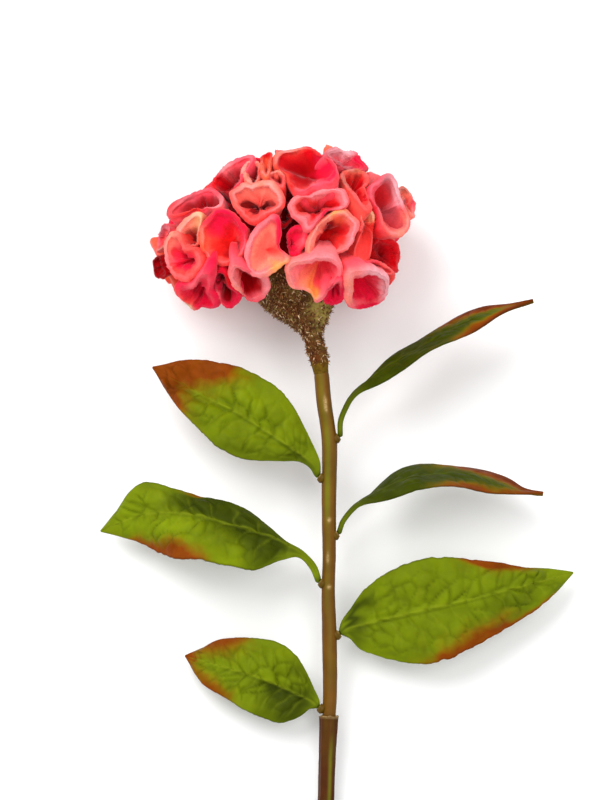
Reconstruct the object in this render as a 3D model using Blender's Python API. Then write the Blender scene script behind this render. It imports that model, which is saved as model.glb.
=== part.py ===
"""A cut cockscomb celosia stem with a velvet crest and moulded leaves, lying on a flat surface.

The flower is described in its own frame: X to the right, Y up the stem from the stem joint,
Z towards the viewer. An empty then lays it down, so that it rests on the crest and the cut end.
"""

import math

import bmesh
import bpy
import numpy as np
from mathutils import Matrix, Vector

MM = 0.001

# Stem
LEAN = math.radians(7.275)  # the stem rises towards the crest by this much when it lies down
FLATTENED = 2.2  # how much of the crest the surface under it presses flat, in mm
GAP = 0.35  # clearance between two pieces that touch, in mm
STEM_SIDES = 12
WELD = 0.0005  # points that a Boolean leaves closer than this become one, in mm
JOINT_DEPTH = 12.0  # how far the upper stem sits in the lower one
SPIGOT_RADIUS = 2.6  # the thin top of the upper stem, inside the receptacle
LOWER_STEM = (  # x, y along the stem, radius
    (-2.2, -80.0, 3.9),
    (-1.3, -40.0, 3.95),
    (-0.7, -19.0, 4.1),
    (-0.1, -6.0, 4.4),
    (0.1, 0.0, 4.6),
)
LOWER_RIBS = 7
LOWER_RIB_HEIGHT = 0.04  # share of the radius
UPPER_STEM = (
    (0.0, -JOINT_DEPTH + GAP, 3.15),
    (0.1, 0.0, 3.2),
    (0.6, 12.8, 3.4),
    (0.3, 36.7, 3.55),
    (-0.3, 58.2, 3.25),
    (0.1, 75.5, 3.2),
    (0.0, 100.8, 3.5),
    (0.3, 121.9, 3.65),
    (0.2, 131.8, 3.75),
    (-0.8, 140.2, 3.55),
    (-2.3, 150.1, 3.65),
    (-3.6, 164.2, 3.6),
)
SPIGOT = (
    (-3.6, 164.2, SPIGOT_RADIUS),
    (-4.9, 171.0, SPIGOT_RADIUS),
    (-6.4, 178.0, SPIGOT_RADIUS),
)

# Leaves. Each midrib runs from inside its socket to the tip.
SOCKET_RISE = math.radians(35)
PEG_RADIUS = 1.1
PEG_DEPTH = 2.4
BOSS_RADIUS = 2.3
BOSS_HEIGHT = 0.9
BLADE = 0.9  # thickness of a blade away from its midrib
BLADE_EDGE = 0.62
RIB = 1.1  # what the midrib adds under the blade
RIB_WIDTH = 1.9
PETIOLE_HALF_WIDTH = 1.7
PETIOLE_THICKNESS = 2.5
HALF_BLADE_STEPS = 3
WIDTH_STATIONS = (0.0, 0.06, 0.13, 0.2, 0.3, 0.4, 0.5, 0.6, 0.7, 0.8, 0.9, 0.96, 1.0)
LEAVES = {
    "leaf_left_upper": {
        "side": -1,
        "midrib": (
            (-3.9, 114.6, 0.6), (-9.2, 122.2, 2.6), (-21.6, 131.0, 5.4), (-30.7, 137.2, 6.6),
            (-45.4, 146.2, 6.2), (-62.5, 155.0, 2.6), (-84.6, 167.4, -5.0),
        ),
        "upper": (1.45, 4.0, 8.0, 12.2, 17.0, 20.2, 20.7, 20.2, 18.0, 14.6, 8.6, 3.6, 0.5),
        "lower": (1.45, 2.2, 3.6, 7.8, 14.2, 18.2, 19.2, 17.0, 13.6, 10.4, 5.7, 2.4, 0.5),
        "roll": (-6, -10, 4),
        "fold": 0.20,
        "curl": 0.16,
        "wave": (0.9, 2.3, 0.4),
    },
    "leaf_left_middle": {
        "side": -1,
        "midrib": (
            (-3.6, 64.0, 0.6), (-7.7, 72.0, 1.8), (-13.6, 78.4, 3.6), (-20.0, 82.0, 5.0),
            (-31.0, 86.4, 7.0), (-45.8, 91.0, 8.0), (-61.2, 95.4, 6.6), (-75.4, 97.6, 2.6),
            (-92.8, 95.3, -4.6), (-109.7, 88.6, -11.0),
        ),
        "upper": (1.45, 1.6, 1.5, 1.8, 5.8, 10.8, 12.6, 11.4, 13.0, 16.0, 6.4, 2.8, 0.5),
        "lower": (1.45, 1.9, 2.4, 8.0, 17.8, 20.6, 23.4, 24.0, 21.0, 15.6, 9.0, 3.8, 0.5),
        "roll": (-12, -34, 2),
        "fold": 0.24,
        "curl": 0.26,
        "wave": (1.1, 2.0, 2.2),
    },
    "leaf_left_lower": {
        "side": -1,
        "midrib": (
            (-4.0, 3.9, 0.4), (-9.1, 7.8, 1.6), (-21.7, 13.8, 4.0), (-35.7, 19.3, 4.2),
            (-51.8, 23.9, 0.4), (-61.9, 26.6, -4.0), (-68.8, 28.5, -7.6),
        ),
        "upper": (1.45, 4.6, 8.8, 12.8, 17.2, 19.0, 18.4, 16.8, 14.6, 11.4, 6.2, 2.8, 0.5),
        "lower": (1.45, 7.2, 13.0, 16.2, 17.2, 17.4, 16.6, 14.8, 13.0, 10.8, 6.2, 2.8, 0.5),
        "roll": (10, -8, -4),
        "fold": 0.26,
        "curl": 0.20,
        "wave": (1.2, 2.6, 1.1),
    },
    "leaf_right_lower": {
        "side": 1,
        "midrib": (
            (4.2, 39.2, 0.4), (9.6, 42.4, 1.6), (17.3, 44.4, 3.4), (32.9, 48.4, 6.2),
            (53.5, 53.3, 7.0), (74.2, 58.0, 4.4), (90.7, 61.8, -0.6), (104.2, 65.0, -6.4),
            (117.5, 68.4, -12.0),
        ),
        "upper": (1.45, 8.4, 15.2, 19.4, 22.8, 23.8, 21.4, 17.6, 13.4, 8.4, 5.4, 2.6, 0.5),
        "lower": (1.45, 10.8, 17.0, 21.6, 25.4, 25.8, 23.4, 20.2, 16.6, 12.6, 7.2, 3.2, 0.5),
        "roll": (0, 4, -8),
        "fold": 0.14,
        "curl": 0.16,
        "wave": (1.2, 2.2, 2.9),
    },
    "leaf_right_upper": {
        "side": 1,
        "midrib": (
            (3.9, 133.6, 0.4), (6.0, 143.2, 0.8), (11.9, 154.4, 1.4), (19.9, 161.2, 2.0),
            (29.5, 168.1, 2.4), (41.2, 174.8, 2.2), (53.0, 182.1, 1.4), (65.5, 188.6, 0.2),
            (78.0, 193.6, -1.2), (98.2, 199.3, -3.2),
        ),
        "upper": (1.45, 1.7, 2.2, 3.6, 5.6, 8.8, 12.4, 15.6, 13.0, 7.6, 3.6, 1.8, 0.5),
        "lower": (1.45, 1.7, 2.6, 5.2, 8.8, 11.4, 12.2, 13.2, 11.0, 7.0, 3.6, 1.8, 0.5),
        "roll": (-70, -71, -62),
        "fold": 0.06,
        "curl": 0.10,
        "wave": (1.3, 2.4, 0.8),
    },
    "leaf_right_middle": {
        "side": 1,
        "midrib": (
            (3.4, 87.2, 0.2), (7.3, 94.4, 0.4), (14.0, 101.6, 0.8), (26.9, 108.8, 1.2),
            (38.9, 113.8, 1.4), (54.2, 116.0, 0.6), (67.7, 115.4, -0.8), (82.1, 111.6, -2.6),
            (93.0, 107.8, -4.0), (103.0, 106.6, -5.4),
        ),
        "upper": (1.45, 1.8, 2.8, 5.6, 11.0, 14.8, 16.6, 16.0, 13.6, 9.6, 5.0, 2.4, 0.5),
        "lower": (1.45, 1.8, 3.0, 6.0, 11.4, 15.2, 16.8, 16.4, 14.0, 10.0, 5.2, 2.4, 0.5),
        "roll": (-78, -68, -74),
        "fold": 0.10,
        "curl": 0.14,
        "wave": (1.5, 2.1, 2.0),
    },
}
LEAF_STEPS = 15

# Receptacle: x, y, half width, half depth
RECEPTACLE = (
    (-3.7, 164.6, 3.7, 3.7),
    (-4.7, 170.0, 4.0, 4.0),
    (-6.6, 178.0, 4.0, 4.0),
    (-8.1, 183.0, 4.7, 4.6),
    (-9.8, 187.0, 7.0, 6.6),
    (-11.6, 190.0, 10.4, 8.8),
    (-13.2, 193.0, 13.4, 10.6),
    (-14.8, 197.0, 16.2, 12.8),
    (-16.6, 201.5, 19.6, 15.2),
    (-18.4, 206.5, 24.6, 18.2),
    (-20.0, 212.0, 29.6, 21.6),
    (-21.0, 216.0, 32.2, 23.0),
    (-21.0, 218.6, 29.0, 20.0),
)
RECEPTACLE_SLANT = (0.19, 0.0)  # its foot follows the leaning stem's top, its top is level
RECEPTACLE_SIDES = 20
CHAFF_COUNT = 92
CHAFF_LENGTH = (1.0, 1.9)
CHAFF_RADIUS = 0.6
CHAFF_SINK = 0.9
CHAFF_TOP = 203.5  # above this the crest lies close to the receptacle
CHAFF_ROOM = 2.9  # how far the crest keeps away from the stretch with chaff

# Crest. Radii run anticlockwise from the right, as seen from the front, in equal steps.
CREST_X = -21.1
CREST_Y = 228.0
OUTLINE = (
    55.4, 64.0, 57.6, 50.9, 52.1, 45.6, 43.2, 42.9,
    45.1, 45.4, 47.3, 56.5, 62.0, 64.0, 57.6, 46.4,
    34.2, 29.9, 29.3, 30.8, 35.3, 46.7, 55.1, 56.6,
)
CREST_DEPTH = 44.0
ROUNDNESS = 2.6  # exponent of the crest's depth; 2 would be an ellipse
INSET = 1.2  # the rims' middles lie this far inside the outline
CORE_INSET = 17.5
RUFFLE_DEPTH = 19.0  # from the rim to the root, which is sunk in the core
# Stages from the root over the rim into the hollow: depth, lip depth (in lip widths),
# place between rim (0) and hollow (1), share of that radius
STAGES = (
    (RUFFLE_DEPTH, 0.0, 0.0, 0.58),
    (9.0, 0.0, 0.0, 0.84),
    (0.6, 0.45, 0.0, 1.0),
    (0.0, 0.0, 0.45, 1.0),
    (0.4, 0.40, 1.0, 1.0),
    (11.0, 0.0, 1.0, 0.5),
)
FRONT_TILT = 0.45  # the rims at the crest's edges turn no further to the side than this
FRONT_RUFFLES = (
    # x, y, lift, direction and depth of the lowest lip, radii of the rim, radii of the hollow
    (-47.0, 256.8, -1, 200, 1,
     (5.8, 6.6, 15.8, 11.3, 7.8, 6.6, 6.5, 7.3, 8.7, 9.5, 7.9, 7.2, 6.4, 5.2, 4.8, 5.3),
     (4.5, 5.3, 6.1, 4.8, 3.6, 3.3, 3.3, 3.6, 4.7, 5.8, 5.7, 5.4, 3.8, 3.3, 3.2, 3.7)),
    (-35.7, 259.4, -1, 0, 1,
     (3.1, 3.7, 4.4, 6.1, 6.7, 7.2, 6.8, 6.4, 5.6, 5.5, 5.5, 5.6, 5.6, 4.2, 3.7, 3.1),
     (1.6, 1.7, 2.1, 3.3, 3.4, 3.3, 2.3, 1.9, 1.6, 1.6, 2.0, 2.7, 4.3, 2.9, 2.3, 1.8)),
    (-30.0, 263.9, 0, 90, 0,
     (2.1, 2.4, 3.4, 7.1, 6.1, 5.3, 3.7, 3.2, 3.1, 3.2, 3.9, 5.5, 6.7, 4.9, 2.7, 2.2),
     (0.5, 0.6, 0.8, 1.6, 3.1, 1.2, 0.7, 0.6, 0.5, 0.6, 0.8, 1.7, 3.5, 1.2, 0.7, 0.6)),
    (-8.6, 263.5, 0.5, 205, 1,
     (12.0, 8.7, 7.3, 7.5, 8.4, 9.7, 11.8, 16.9, 18.9, 14.0, 15.0, 16.3, 12.5, 12.4, 14.2, 14.1),
     (9.9, 6.4, 5.7, 5.7, 5.7, 6.5, 6.9, 8.0, 9.5, 8.1, 5.8, 5.0, 5.0, 5.5, 7.0, 9.0)),
    (7.1, 265.8, 0, 90, 1,
     (9.0, 7.7, 7.1, 6.7, 7.0, 8.0, 9.7, 11.7, 6.0, 4.1, 3.5, 3.5, 4.1, 4.5, 5.7, 13.0),
     (3.7, 2.3, 1.9, 1.8, 2.0, 2.3, 3.0, 5.6, 4.3, 2.4, 1.9, 1.6, 1.7, 2.0, 3.0, 5.3)),
    (12.9, 256.0, -0.5, 270, 0,
     (6.2, 5.8, 5.5, 5.1, 5.5, 5.8, 7.2, 8.4, 7.2, 6.5, 6.7, 7.9, 10.7, 16.9, 5.9, 5.8),
     (3.2, 3.1, 3.4, 3.1, 3.3, 3.4, 3.5, 3.6, 3.2, 3.1, 2.8, 3.0, 3.4, 3.8, 3.5, 3.2)),
    (29.0, 243.9, 1, 20, 1,
     (7.3, 6.3, 6.7, 9.6, 15.7, 14.2, 13.7, 11.5, 7.7, 6.9, 8.2, 11.7, 14.4, 15.6, 13.2, 9.6),
     (3.1, 2.9, 3.1, 4.2, 8.9, 8.9, 7.5, 5.3, 4.4, 3.9, 4.0, 4.8, 6.3, 9.6, 8.9, 3.9)),
    (37.1, 247.6, -2, 0, 1,
     (3.4, 3.3, 3.8, 4.3, 6.1, 8.4, 6.2, 3.2, 2.4, 2.2, 2.3, 2.9, 5.1, 9.8, 6.2, 4.2),
     (1.6, 1.5, 1.7, 2.3, 3.3, 5.4, 3.6, 1.9, 1.1, 0.9, 1.0, 1.6, 3.0, 5.5, 3.4, 2.0)),
    (-34.2, 244.8, 2, 90, 0.5,
     (12.6, 12.9, 12.7, 11.6, 9.4, 9.1, 12.4, 14.0, 11.9, 10.1, 9.8, 10.4, 9.8, 8.2, 8.2, 10.6),
     (7.0, 0.5, 0.5, 0.5, 0.5, 0.5, 0.5, 0.5, 6.7, 3.3, 2.1, 1.6, 1.5, 1.6, 2.1, 3.3)),
    (-24.7, 256.9, 0.5, 90, 0,
     (3.8, 3.8, 3.9, 3.9, 4.0, 3.9, 4.2, 4.6, 4.3, 3.7, 3.1, 3.0, 3.5, 5.3, 4.8, 4.4),
     (1.6, 1.3, 1.3, 1.6, 2.2, 2.0, 2.2, 2.7, 1.6, 1.2, 1.2, 1.3, 1.6, 2.3, 2.5, 1.8)),
    (-60.4, 246.0, 0, 270, 1,
     (10.7, 9.6, 8.5, 7.3, 6.2, 6.1, 6.5, 8.0, 12.3, 18.0, 5.4, 4.5, 4.1, 4.1, 4.8, 8.6),
     (6.5, 5.3, 4.5, 3.3, 3.0, 3.2, 3.6, 4.2, 6.4, 5.8, 3.7, 3.0, 2.8, 2.8, 3.4, 5.3)),
    (-79.4, 229.7, -2, 180, 0,
     (2.4, 3.2, 5.2, 6.2, 5.9, 4.3, 3.9, 3.4, 3.4, 4.0, 5.1, 7.4, 5.9, 3.2, 2.4, 2.1),
     (1.1, 1.5, 2.4, 2.7, 2.6, 1.7, 1.4, 1.4, 1.5, 1.5, 1.8, 2.8, 2.5, 1.8, 1.1, 0.8)),
    (-80.7, 215.6, -5, 180, 0,
     (2.3, 2.2, 2.5, 3.5, 5.9, 5.4, 3.9, 2.9, 2.7, 2.9, 3.7, 4.7, 5.1, 5.7, 5.0, 3.0),
     (1.0, 0.9, 1.2, 2.2, 3.9, 3.9, 2.2, 1.6, 1.4, 1.6, 2.1, 2.6, 3.5, 3.8, 2.4, 1.7)),
    (-71.8, 218.4, 1, 250, 1,
     (12.8, 11.8, 8.7, 8.0, 13.6, 13.2, 10.0, 7.3, 6.2, 6.2, 6.4, 7.6, 9.4, 11.0, 11.7, 12.4),
     (3.3, 2.3, 2.0, 2.1, 2.5, 3.6, 4.3, 2.6, 2.1, 2.1, 2.3, 2.7, 3.3, 3.5, 3.1, 3.2)),
    (-66.5, 227.4, 1, 60, 0,
     (4.9, 5.1, 7.9, 14.8, 11.3, 9.7, 8.4, 5.8, 4.1, 3.6, 3.7, 3.2, 2.9, 3.2, 3.5, 4.5),
     (3.1, 2.9, 2.3, 2.0, 2.1, 2.6, 2.5, 3.0, 2.8, 2.3, 2.3, 1.9, 1.6, 1.9, 2.2, 3.2)),
    (-48.0, 227.3, 1.5, 165, 0.5,
     (9.1, 10.3, 10.8, 12.1, 14.8, 15.9, 14.7, 14.7, 14.1, 13.5, 12.7, 12.4, 11.8, 11.0, 9.7, 8.8),
     (5.2, 4.9, 5.3, 6.5, 8.7, 7.3, 5.2, 4.2, 4.5, 5.8, 7.1, 6.3, 6.5, 7.0, 6.7, 5.8)),
    (-64.0, 200.5, 0, 270, 1,
     (11.4, 9.9, 13.0, 14.0, 8.2, 7.6, 9.1, 10.5, 8.3, 6.1, 5.3, 5.1, 5.8, 5.6, 6.3, 12.5),
     (4.4, 3.0, 2.6, 2.6, 2.5, 2.6, 3.3, 3.6, 3.3, 3.4, 2.7, 2.6, 2.9, 2.8, 2.8, 3.2)),
    (-51.0, 205.2, -1.5, 270, 0,
     (6.1, 5.5, 6.0, 7.7, 9.3, 7.9, 6.0, 4.2, 3.6, 3.4, 3.5, 4.3, 8.7, 10.6, 11.3, 11.0),
     (1.3, 1.1, 1.2, 1.8, 4.6, 6.3, 3.6, 2.4, 2.0, 1.9, 2.2, 3.0, 4.2, 6.6, 4.1, 1.8)),
    (-38.1, 206.5, 0.5, 250, 1,
     (10.6, 10.1, 7.6, 6.7, 7.1, 9.5, 11.8, 10.3, 7.7, 6.3, 5.8, 6.2, 7.6, 8.4, 9.5, 10.2),
     (4.6, 3.9, 3.3, 3.2, 3.7, 4.7, 7.2, 4.3, 3.4, 3.2, 3.5, 4.6, 4.6, 4.6, 4.7, 5.4)),
    (-31.1, 222.9, 2.5, 305, 2,
     (8.6, 8.1, 11.6, 18.0, 14.3, 10.9, 9.2, 8.6, 8.5, 9.4, 11.1, 12.7, 13.3, 12.2, 11.8, 14.0),
     (5.2, 5.4, 6.6, 9.9, 7.6, 5.2, 4.4, 4.2, 4.5, 5.7, 7.5, 9.7, 7.2, 5.1, 4.6, 4.5)),
    (-17.9, 226.0, -1, 280, 0,
     (7.4, 8.7, 10.1, 9.5, 7.8, 5.2, 3.1, 2.3, 2.0, 2.1, 2.6, 3.7, 6.2, 6.7, 5.9, 6.1),
     (1.3, 1.3, 1.5, 2.1, 3.0, 2.5, 1.8, 1.0, 0.7, 0.8, 1.3, 2.1, 3.3, 2.1, 1.5, 1.2)),
    (-5.1, 243.8, 2, 90, 0,
     (14.0, 14.9, 12.0, 9.2, 7.7, 6.8, 7.3, 11.4, 13.8, 13.7, 11.5, 13.3, 7.9, 5.7, 4.9, 6.1),
     (8.7, 6.4, 3.3, 2.5, 2.2, 2.3, 2.8, 4.5, 9.5, 6.3, 4.1, 3.2, 2.6, 2.5, 2.8, 3.9)),
    (1.2, 229.1, 1.5, 270, 0.5,
     (11.3, 14.4, 14.3, 14.1, 11.8, 9.8, 9.3, 9.8, 10.6, 13.5, 13.8, 9.1, 8.9, 9.3, 9.8, 10.2),
     (5.6, 7.1, 8.8, 6.3, 5.2, 4.8, 5.1, 4.9, 5.1, 6.6, 9.0, 5.8, 5.0, 5.1, 4.8, 5.2)),
    (17.8, 233.5, 0.5, 270, 1,
     (3.1, 3.6, 5.5, 8.2, 9.6, 7.9, 3.1, 2.8, 3.0, 3.9, 4.8, 16.7, 17.2, 7.9, 4.3, 3.3),
     (1.5, 1.7, 2.4, 3.4, 5.3, 3.8, 1.8, 1.5, 1.4, 1.5, 1.8, 3.1, 7.0, 2.9, 1.8, 1.5)),
    (26.8, 220.0, -3, 200, 1,
     (8.3, 8.0, 8.3, 8.7, 9.9, 10.4, 8.0, 6.2, 3.8, 3.0, 2.6, 2.7, 3.3, 8.2, 9.6, 8.6),
     (2.5, 2.0, 2.0, 2.2, 3.0, 4.8, 6.0, 3.5, 2.5, 1.7, 1.3, 1.4, 2.0, 4.4, 6.8, 3.5)),
    (-6.0, 209.9, 1.5, 262, 4,
     (11.6, 13.3, 12.9, 11.5, 11.1, 11.1, 12.7, 16.4, 14.7, 12.4, 8.1, 7.7, 11.7, 10.3, 9.0, 9.1),
     (7.4, 9.2, 7.3, 5.8, 5.1, 5.2, 5.3, 6.4, 7.2, 8.1, 6.6, 6.4, 6.4, 4.6, 4.4, 5.0)),
    (2.2, 202.3, -0.5, 270, 0.5,
     (4.7, 5.2, 6.2, 8.2, 4.8, 3.9, 3.8, 4.4, 4.6, 5.6, 6.2, 5.6, 5.2, 4.9, 5.4, 5.0),
     (1.9, 1.8, 2.1, 2.6, 1.8, 1.6, 1.6, 2.0, 2.2, 2.0, 2.1, 2.3, 1.8, 1.7, 1.8, 2.4)),
    (19.5, 203.5, 1, 240, 1,
     (8.6, 9.9, 11.1, 10.8, 10.7, 11.5, 13.6, 13.0, 12.0, 12.8, 12.0, 9.1, 7.6, 7.1, 7.4, 7.7),
     (5.3, 6.2, 6.4, 5.6, 5.4, 4.8, 4.8, 4.7, 5.1, 5.9, 6.6, 6.0, 5.2, 4.5, 4.6, 4.6)),
    (20.7, 215.8, -0.5, 0, 0,
     (6.6, 3.6, 2.8, 2.4, 2.1, 2.2, 2.6, 4.1, 10.0, 3.8, 2.3, 1.8, 1.8, 2.2, 3.3, 12.2),
     (2.6, 1.4, 1.0, 0.9, 0.8, 0.9, 1.1, 1.9, 3.0, 1.2, 0.9, 0.5, 0.5, 0.7, 1.0, 2.0)),
    (-22.0, 240.5, -5.5, 0, 0.5,
     (4.6, 4.8, 5.4, 6.0, 6.4, 6.2, 5.6, 5.0, 4.8, 5.0, 5.8, 6.6, 7.0, 6.4, 5.6, 5.0),
     (2.0, 2.2, 2.8, 3.4, 3.8, 3.6, 3.0, 2.4, 2.2, 2.4, 3.0, 3.6, 4.0, 3.6, 2.8, 2.2)),
)
BACK_SPACING = 22.0
BACK_FRONT_LIMIT = 8.0  # the rule fills the crest behind this depth
BACK_CANDIDATES = 900
UNDERSIDE = 203.0  # no ruffle of the rule has its middle below this height
CREVICE = 0.7
WARP = 1.9
WARP_LENGTHS = (24.0, 31.0)
LARGE_RIM = 105.0  # a ruffle whose radii add up to more than this has more sides
LARGE_SIDES = 16
SMALL_SIDES = 10
SEED = 7

COLOURS = {
    "velvet": (0.90, 0.13, 0.14),
    "chaff": (0.17, 0.11, 0.03),
    "stem": (0.24, 0.13, 0.02),
    "leaf": (0.27, 0.36, 0.02),
}


# Plain shapes

def clear_scene():
    for obj in list(bpy.data.objects):
        bpy.data.objects.remove(obj, do_unlink=True)


def material(name, roughness):
    made = bpy.data.materials.new(name)
    made.use_nodes = True
    shader = made.node_tree.nodes["Principled BSDF"]
    shader.inputs["Base Color"].default_value = (*COLOURS[name], 1.0)
    shader.inputs["Roughness"].default_value = roughness
    shader.inputs["Metallic"].default_value = 0.0
    return made


def mesh_object(name, points, faces, finish=None, parent=None):
    """An object with this mesh. The points come in millimetres."""
    mesh = bpy.data.meshes.new(name)
    mesh.from_pydata([tuple(c * MM for c in point) for point in points], [], faces)
    mesh.validate()
    obj = bpy.data.objects.new(name, mesh)
    bpy.context.scene.collection.objects.link(obj)
    if finish:
        mesh.materials.append(finish)
    obj.parent = parent
    return obj


def volume(points, faces):
    """Positive where the triangles face outwards."""
    return sum(points[a].dot(points[b].cross(points[c])) for a, b, c in faces)


def skin(rings):
    """A closed body through rings of as many points each: triangles, with a fan on both ends."""
    sides = len(rings[0])
    points = [Vector(point) for ring in rings for point in ring]
    faces = []
    for row in range(len(rings) - 1):
        for side in range(sides):
            a = row * sides + side
            b = row * sides + (side + 1) % sides
            faces.append((a, b, b + sides))
            faces.append((a, b + sides, a + sides))
    for first, flip in ((0, True), ((len(rings) - 1) * sides, False)):
        ring = list(range(first, first + sides))
        points.append(sum((points[i] for i in ring), Vector()) / sides)
        for side in range(sides):
            face = (ring[side], ring[(side + 1) % sides], len(points) - 1)
            faces.append(face[::-1] if flip else face)
    if volume(points, faces) < 0:
        faces = [face[::-1] for face in faces]
    return points, faces


def smooth_path(points, count):
    """Evenly spaced points on a Catmull-Rom curve through the given ones."""
    points = [np.array(point, float) for point in points]
    points = [2 * points[0] - points[1], *points, 2 * points[-1] - points[-2]]
    dense = []
    for a, b, c, d in zip(points, points[1:], points[2:], points[3:]):
        for t in np.linspace(0, 1, 24, endpoint=False):
            bend = (2 * a - 5 * b + 4 * c - d) * t * t + (3 * b - a - 3 * c + d) * t ** 3
            dense.append(0.5 * (2 * b + (c - a) * t + bend))
    dense = np.array([*dense, points[-2]])
    steps = np.linalg.norm(np.diff(dense[:, :3], axis=0), axis=1)
    along = np.concatenate([[0.0], np.cumsum(steps)])
    wanted = np.linspace(0, along[-1], count)
    return np.stack([np.interp(wanted, along, column) for column in dense.T], axis=1)


def stem_rings(profile, count, sides, ribs=0, grow=0.0):
    """Rings round a stem whose axis lies in the plane Z = 0. The profile gives x, y, radius."""
    axis = smooth_path([(x, y, radius) for x, y, radius in profile], count)
    slopes = np.gradient(axis[:, :2], axis=0)
    rings = []
    for (x, y, radius), slope in zip(axis, slopes):
        across = Vector((slope[1], -slope[0], 0)).normalized()
        ring = []
        for side in range(sides):
            angle = 2 * math.pi * side / sides
            out = (radius + grow) * (1 + LOWER_RIB_HEIGHT * math.cos(ribs * angle) * (ribs > 0))
            ring.append(Vector((x, y, 0)) - across * (out * math.cos(angle))
                        + Vector((0, 0, out * math.sin(angle))))
        rings.append(ring)
    return rings


# Booleans

def combine(target, operation, other, solver="EXACT"):
    """Applies a Boolean with an object or a collection, then removes what it was made with."""
    cut = target.modifiers.new(operation.lower(), "BOOLEAN")
    cut.operation = operation
    cut.solver = solver
    if isinstance(other, bpy.types.Collection):
        cut.operand_type = "COLLECTION"
        cut.collection = other
        used = list(other.objects)
    else:
        cut.object = other
        used = [other]
    bpy.context.view_layer.update()
    graph = bpy.context.evaluated_depsgraph_get()
    made = bpy.data.meshes.new_from_object(target.evaluated_get(graph))
    target.modifiers.clear()
    target.data = made
    for obj in used:
        bpy.data.objects.remove(obj, do_unlink=True)
    if isinstance(other, bpy.types.Collection):
        bpy.data.collections.remove(other)


def collect(name, objects):
    """Moves the objects into a collection of their own."""
    group = bpy.data.collections.new(name)
    bpy.context.scene.collection.children.link(group)
    for obj in objects:
        for held in obj.users_collection:
            held.objects.unlink(obj)
        group.objects.link(obj)
    return group


def keep_one_body(obj):
    """Fills hollows that the union sealed and drops loose scraps: only the largest shell stays."""
    mesh = bmesh.new()
    mesh.from_mesh(obj.data)
    bmesh.ops.triangulate(mesh, faces=mesh.faces[:])
    bmesh.ops.remove_doubles(mesh, verts=mesh.verts[:], dist=WELD * MM)
    bmesh.ops.dissolve_degenerate(mesh, edges=mesh.edges[:], dist=WELD * MM)
    bmesh.ops.triangulate(mesh, faces=mesh.faces[:])
    shells = []
    left = set(mesh.verts)
    while left:
        shell = {left.pop()}
        edge = set(shell)
        while edge:
            edge = {e.other_vert(v) for v in edge for e in v.link_edges} - shell
            shell |= edge
        left -= shell
        shells.append(shell)
    shells.sort(key=len)
    for shell in shells[:-1]:
        bmesh.ops.delete(mesh, geom=list(shell), context="VERTS")
    mesh.to_mesh(obj.data)
    mesh.free()


# Stem

def cylinder(name, start, end, radius, sides):
    """A closed cylinder between two points, in millimetres."""
    axis = Vector(end) - Vector(start)
    turn = axis.to_track_quat("Z", "Y").to_matrix()
    rings = []
    for centre in (Vector(start), Vector(end)):
        rings.append([
            centre + turn @ Vector((radius * math.cos(a), radius * math.sin(a), 0))
            for a in (2 * math.pi * side / sides for side in range(sides))
        ])
    return mesh_object(name, *skin(rings))


def socket_line(leaf):
    """Where a leaf's peg enters the stem, and the direction from the stem into the leaf."""
    out = Vector((leaf["side"] * math.cos(SOCKET_RISE), math.sin(SOCKET_RISE), 0))
    return Vector(leaf["midrib"][0]), out


def make_lower_stem(finish, parent):
    stem = mesh_object(
        "stem_lower", *skin(stem_rings(LOWER_STEM, 5, 28, ribs=LOWER_RIBS)), finish, parent
    )
    bore = ((0.0, -JOINT_DEPTH, 3.15), (0.1, 0.5, 3.2), (0.2, 4.0, 3.2))
    cutter = mesh_object("bore", *skin(stem_rings(bore, 4, STEM_SIDES, grow=GAP)), parent=parent)
    combine(stem, "DIFFERENCE", cutter)
    keep_one_body(stem)
    return stem


def make_upper_stem(finish, parent):
    rings = stem_rings(UPPER_STEM, 14, STEM_SIDES) + stem_rings(SPIGOT, 3, STEM_SIDES)
    stem = mesh_object("stem_upper", *skin(rings), finish, parent)
    bosses, holes = [], []
    for leaf in LEAVES.values():
        mouth, out = socket_line(leaf)
        inner = mouth - out * PEG_DEPTH
        bosses.append(cylinder("boss", inner, mouth + out * BOSS_HEIGHT, BOSS_RADIUS, 8))
        holes.append(cylinder("hole", inner - out * GAP, mouth + out * 3.0, PEG_RADIUS + GAP, 8))
    for obj in bosses + holes:
        obj.parent = parent
    combine(stem, "UNION", collect("bosses", bosses))
    combine(stem, "DIFFERENCE", collect("holes", holes))
    keep_one_body(stem)
    return stem


# Leaves

def blade_section(leaf, share):
    """Half widths of the blade and the roll of its plane at a share of the midrib's length."""
    upper = float(np.interp(share, WIDTH_STATIONS, leaf["upper"]))
    lower = float(np.interp(share, WIDTH_STATIONS, leaf["lower"]))
    roll = math.radians(float(np.interp(share, (0.0, 0.5, 1.0), leaf["roll"])))
    return upper, lower, roll


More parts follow.
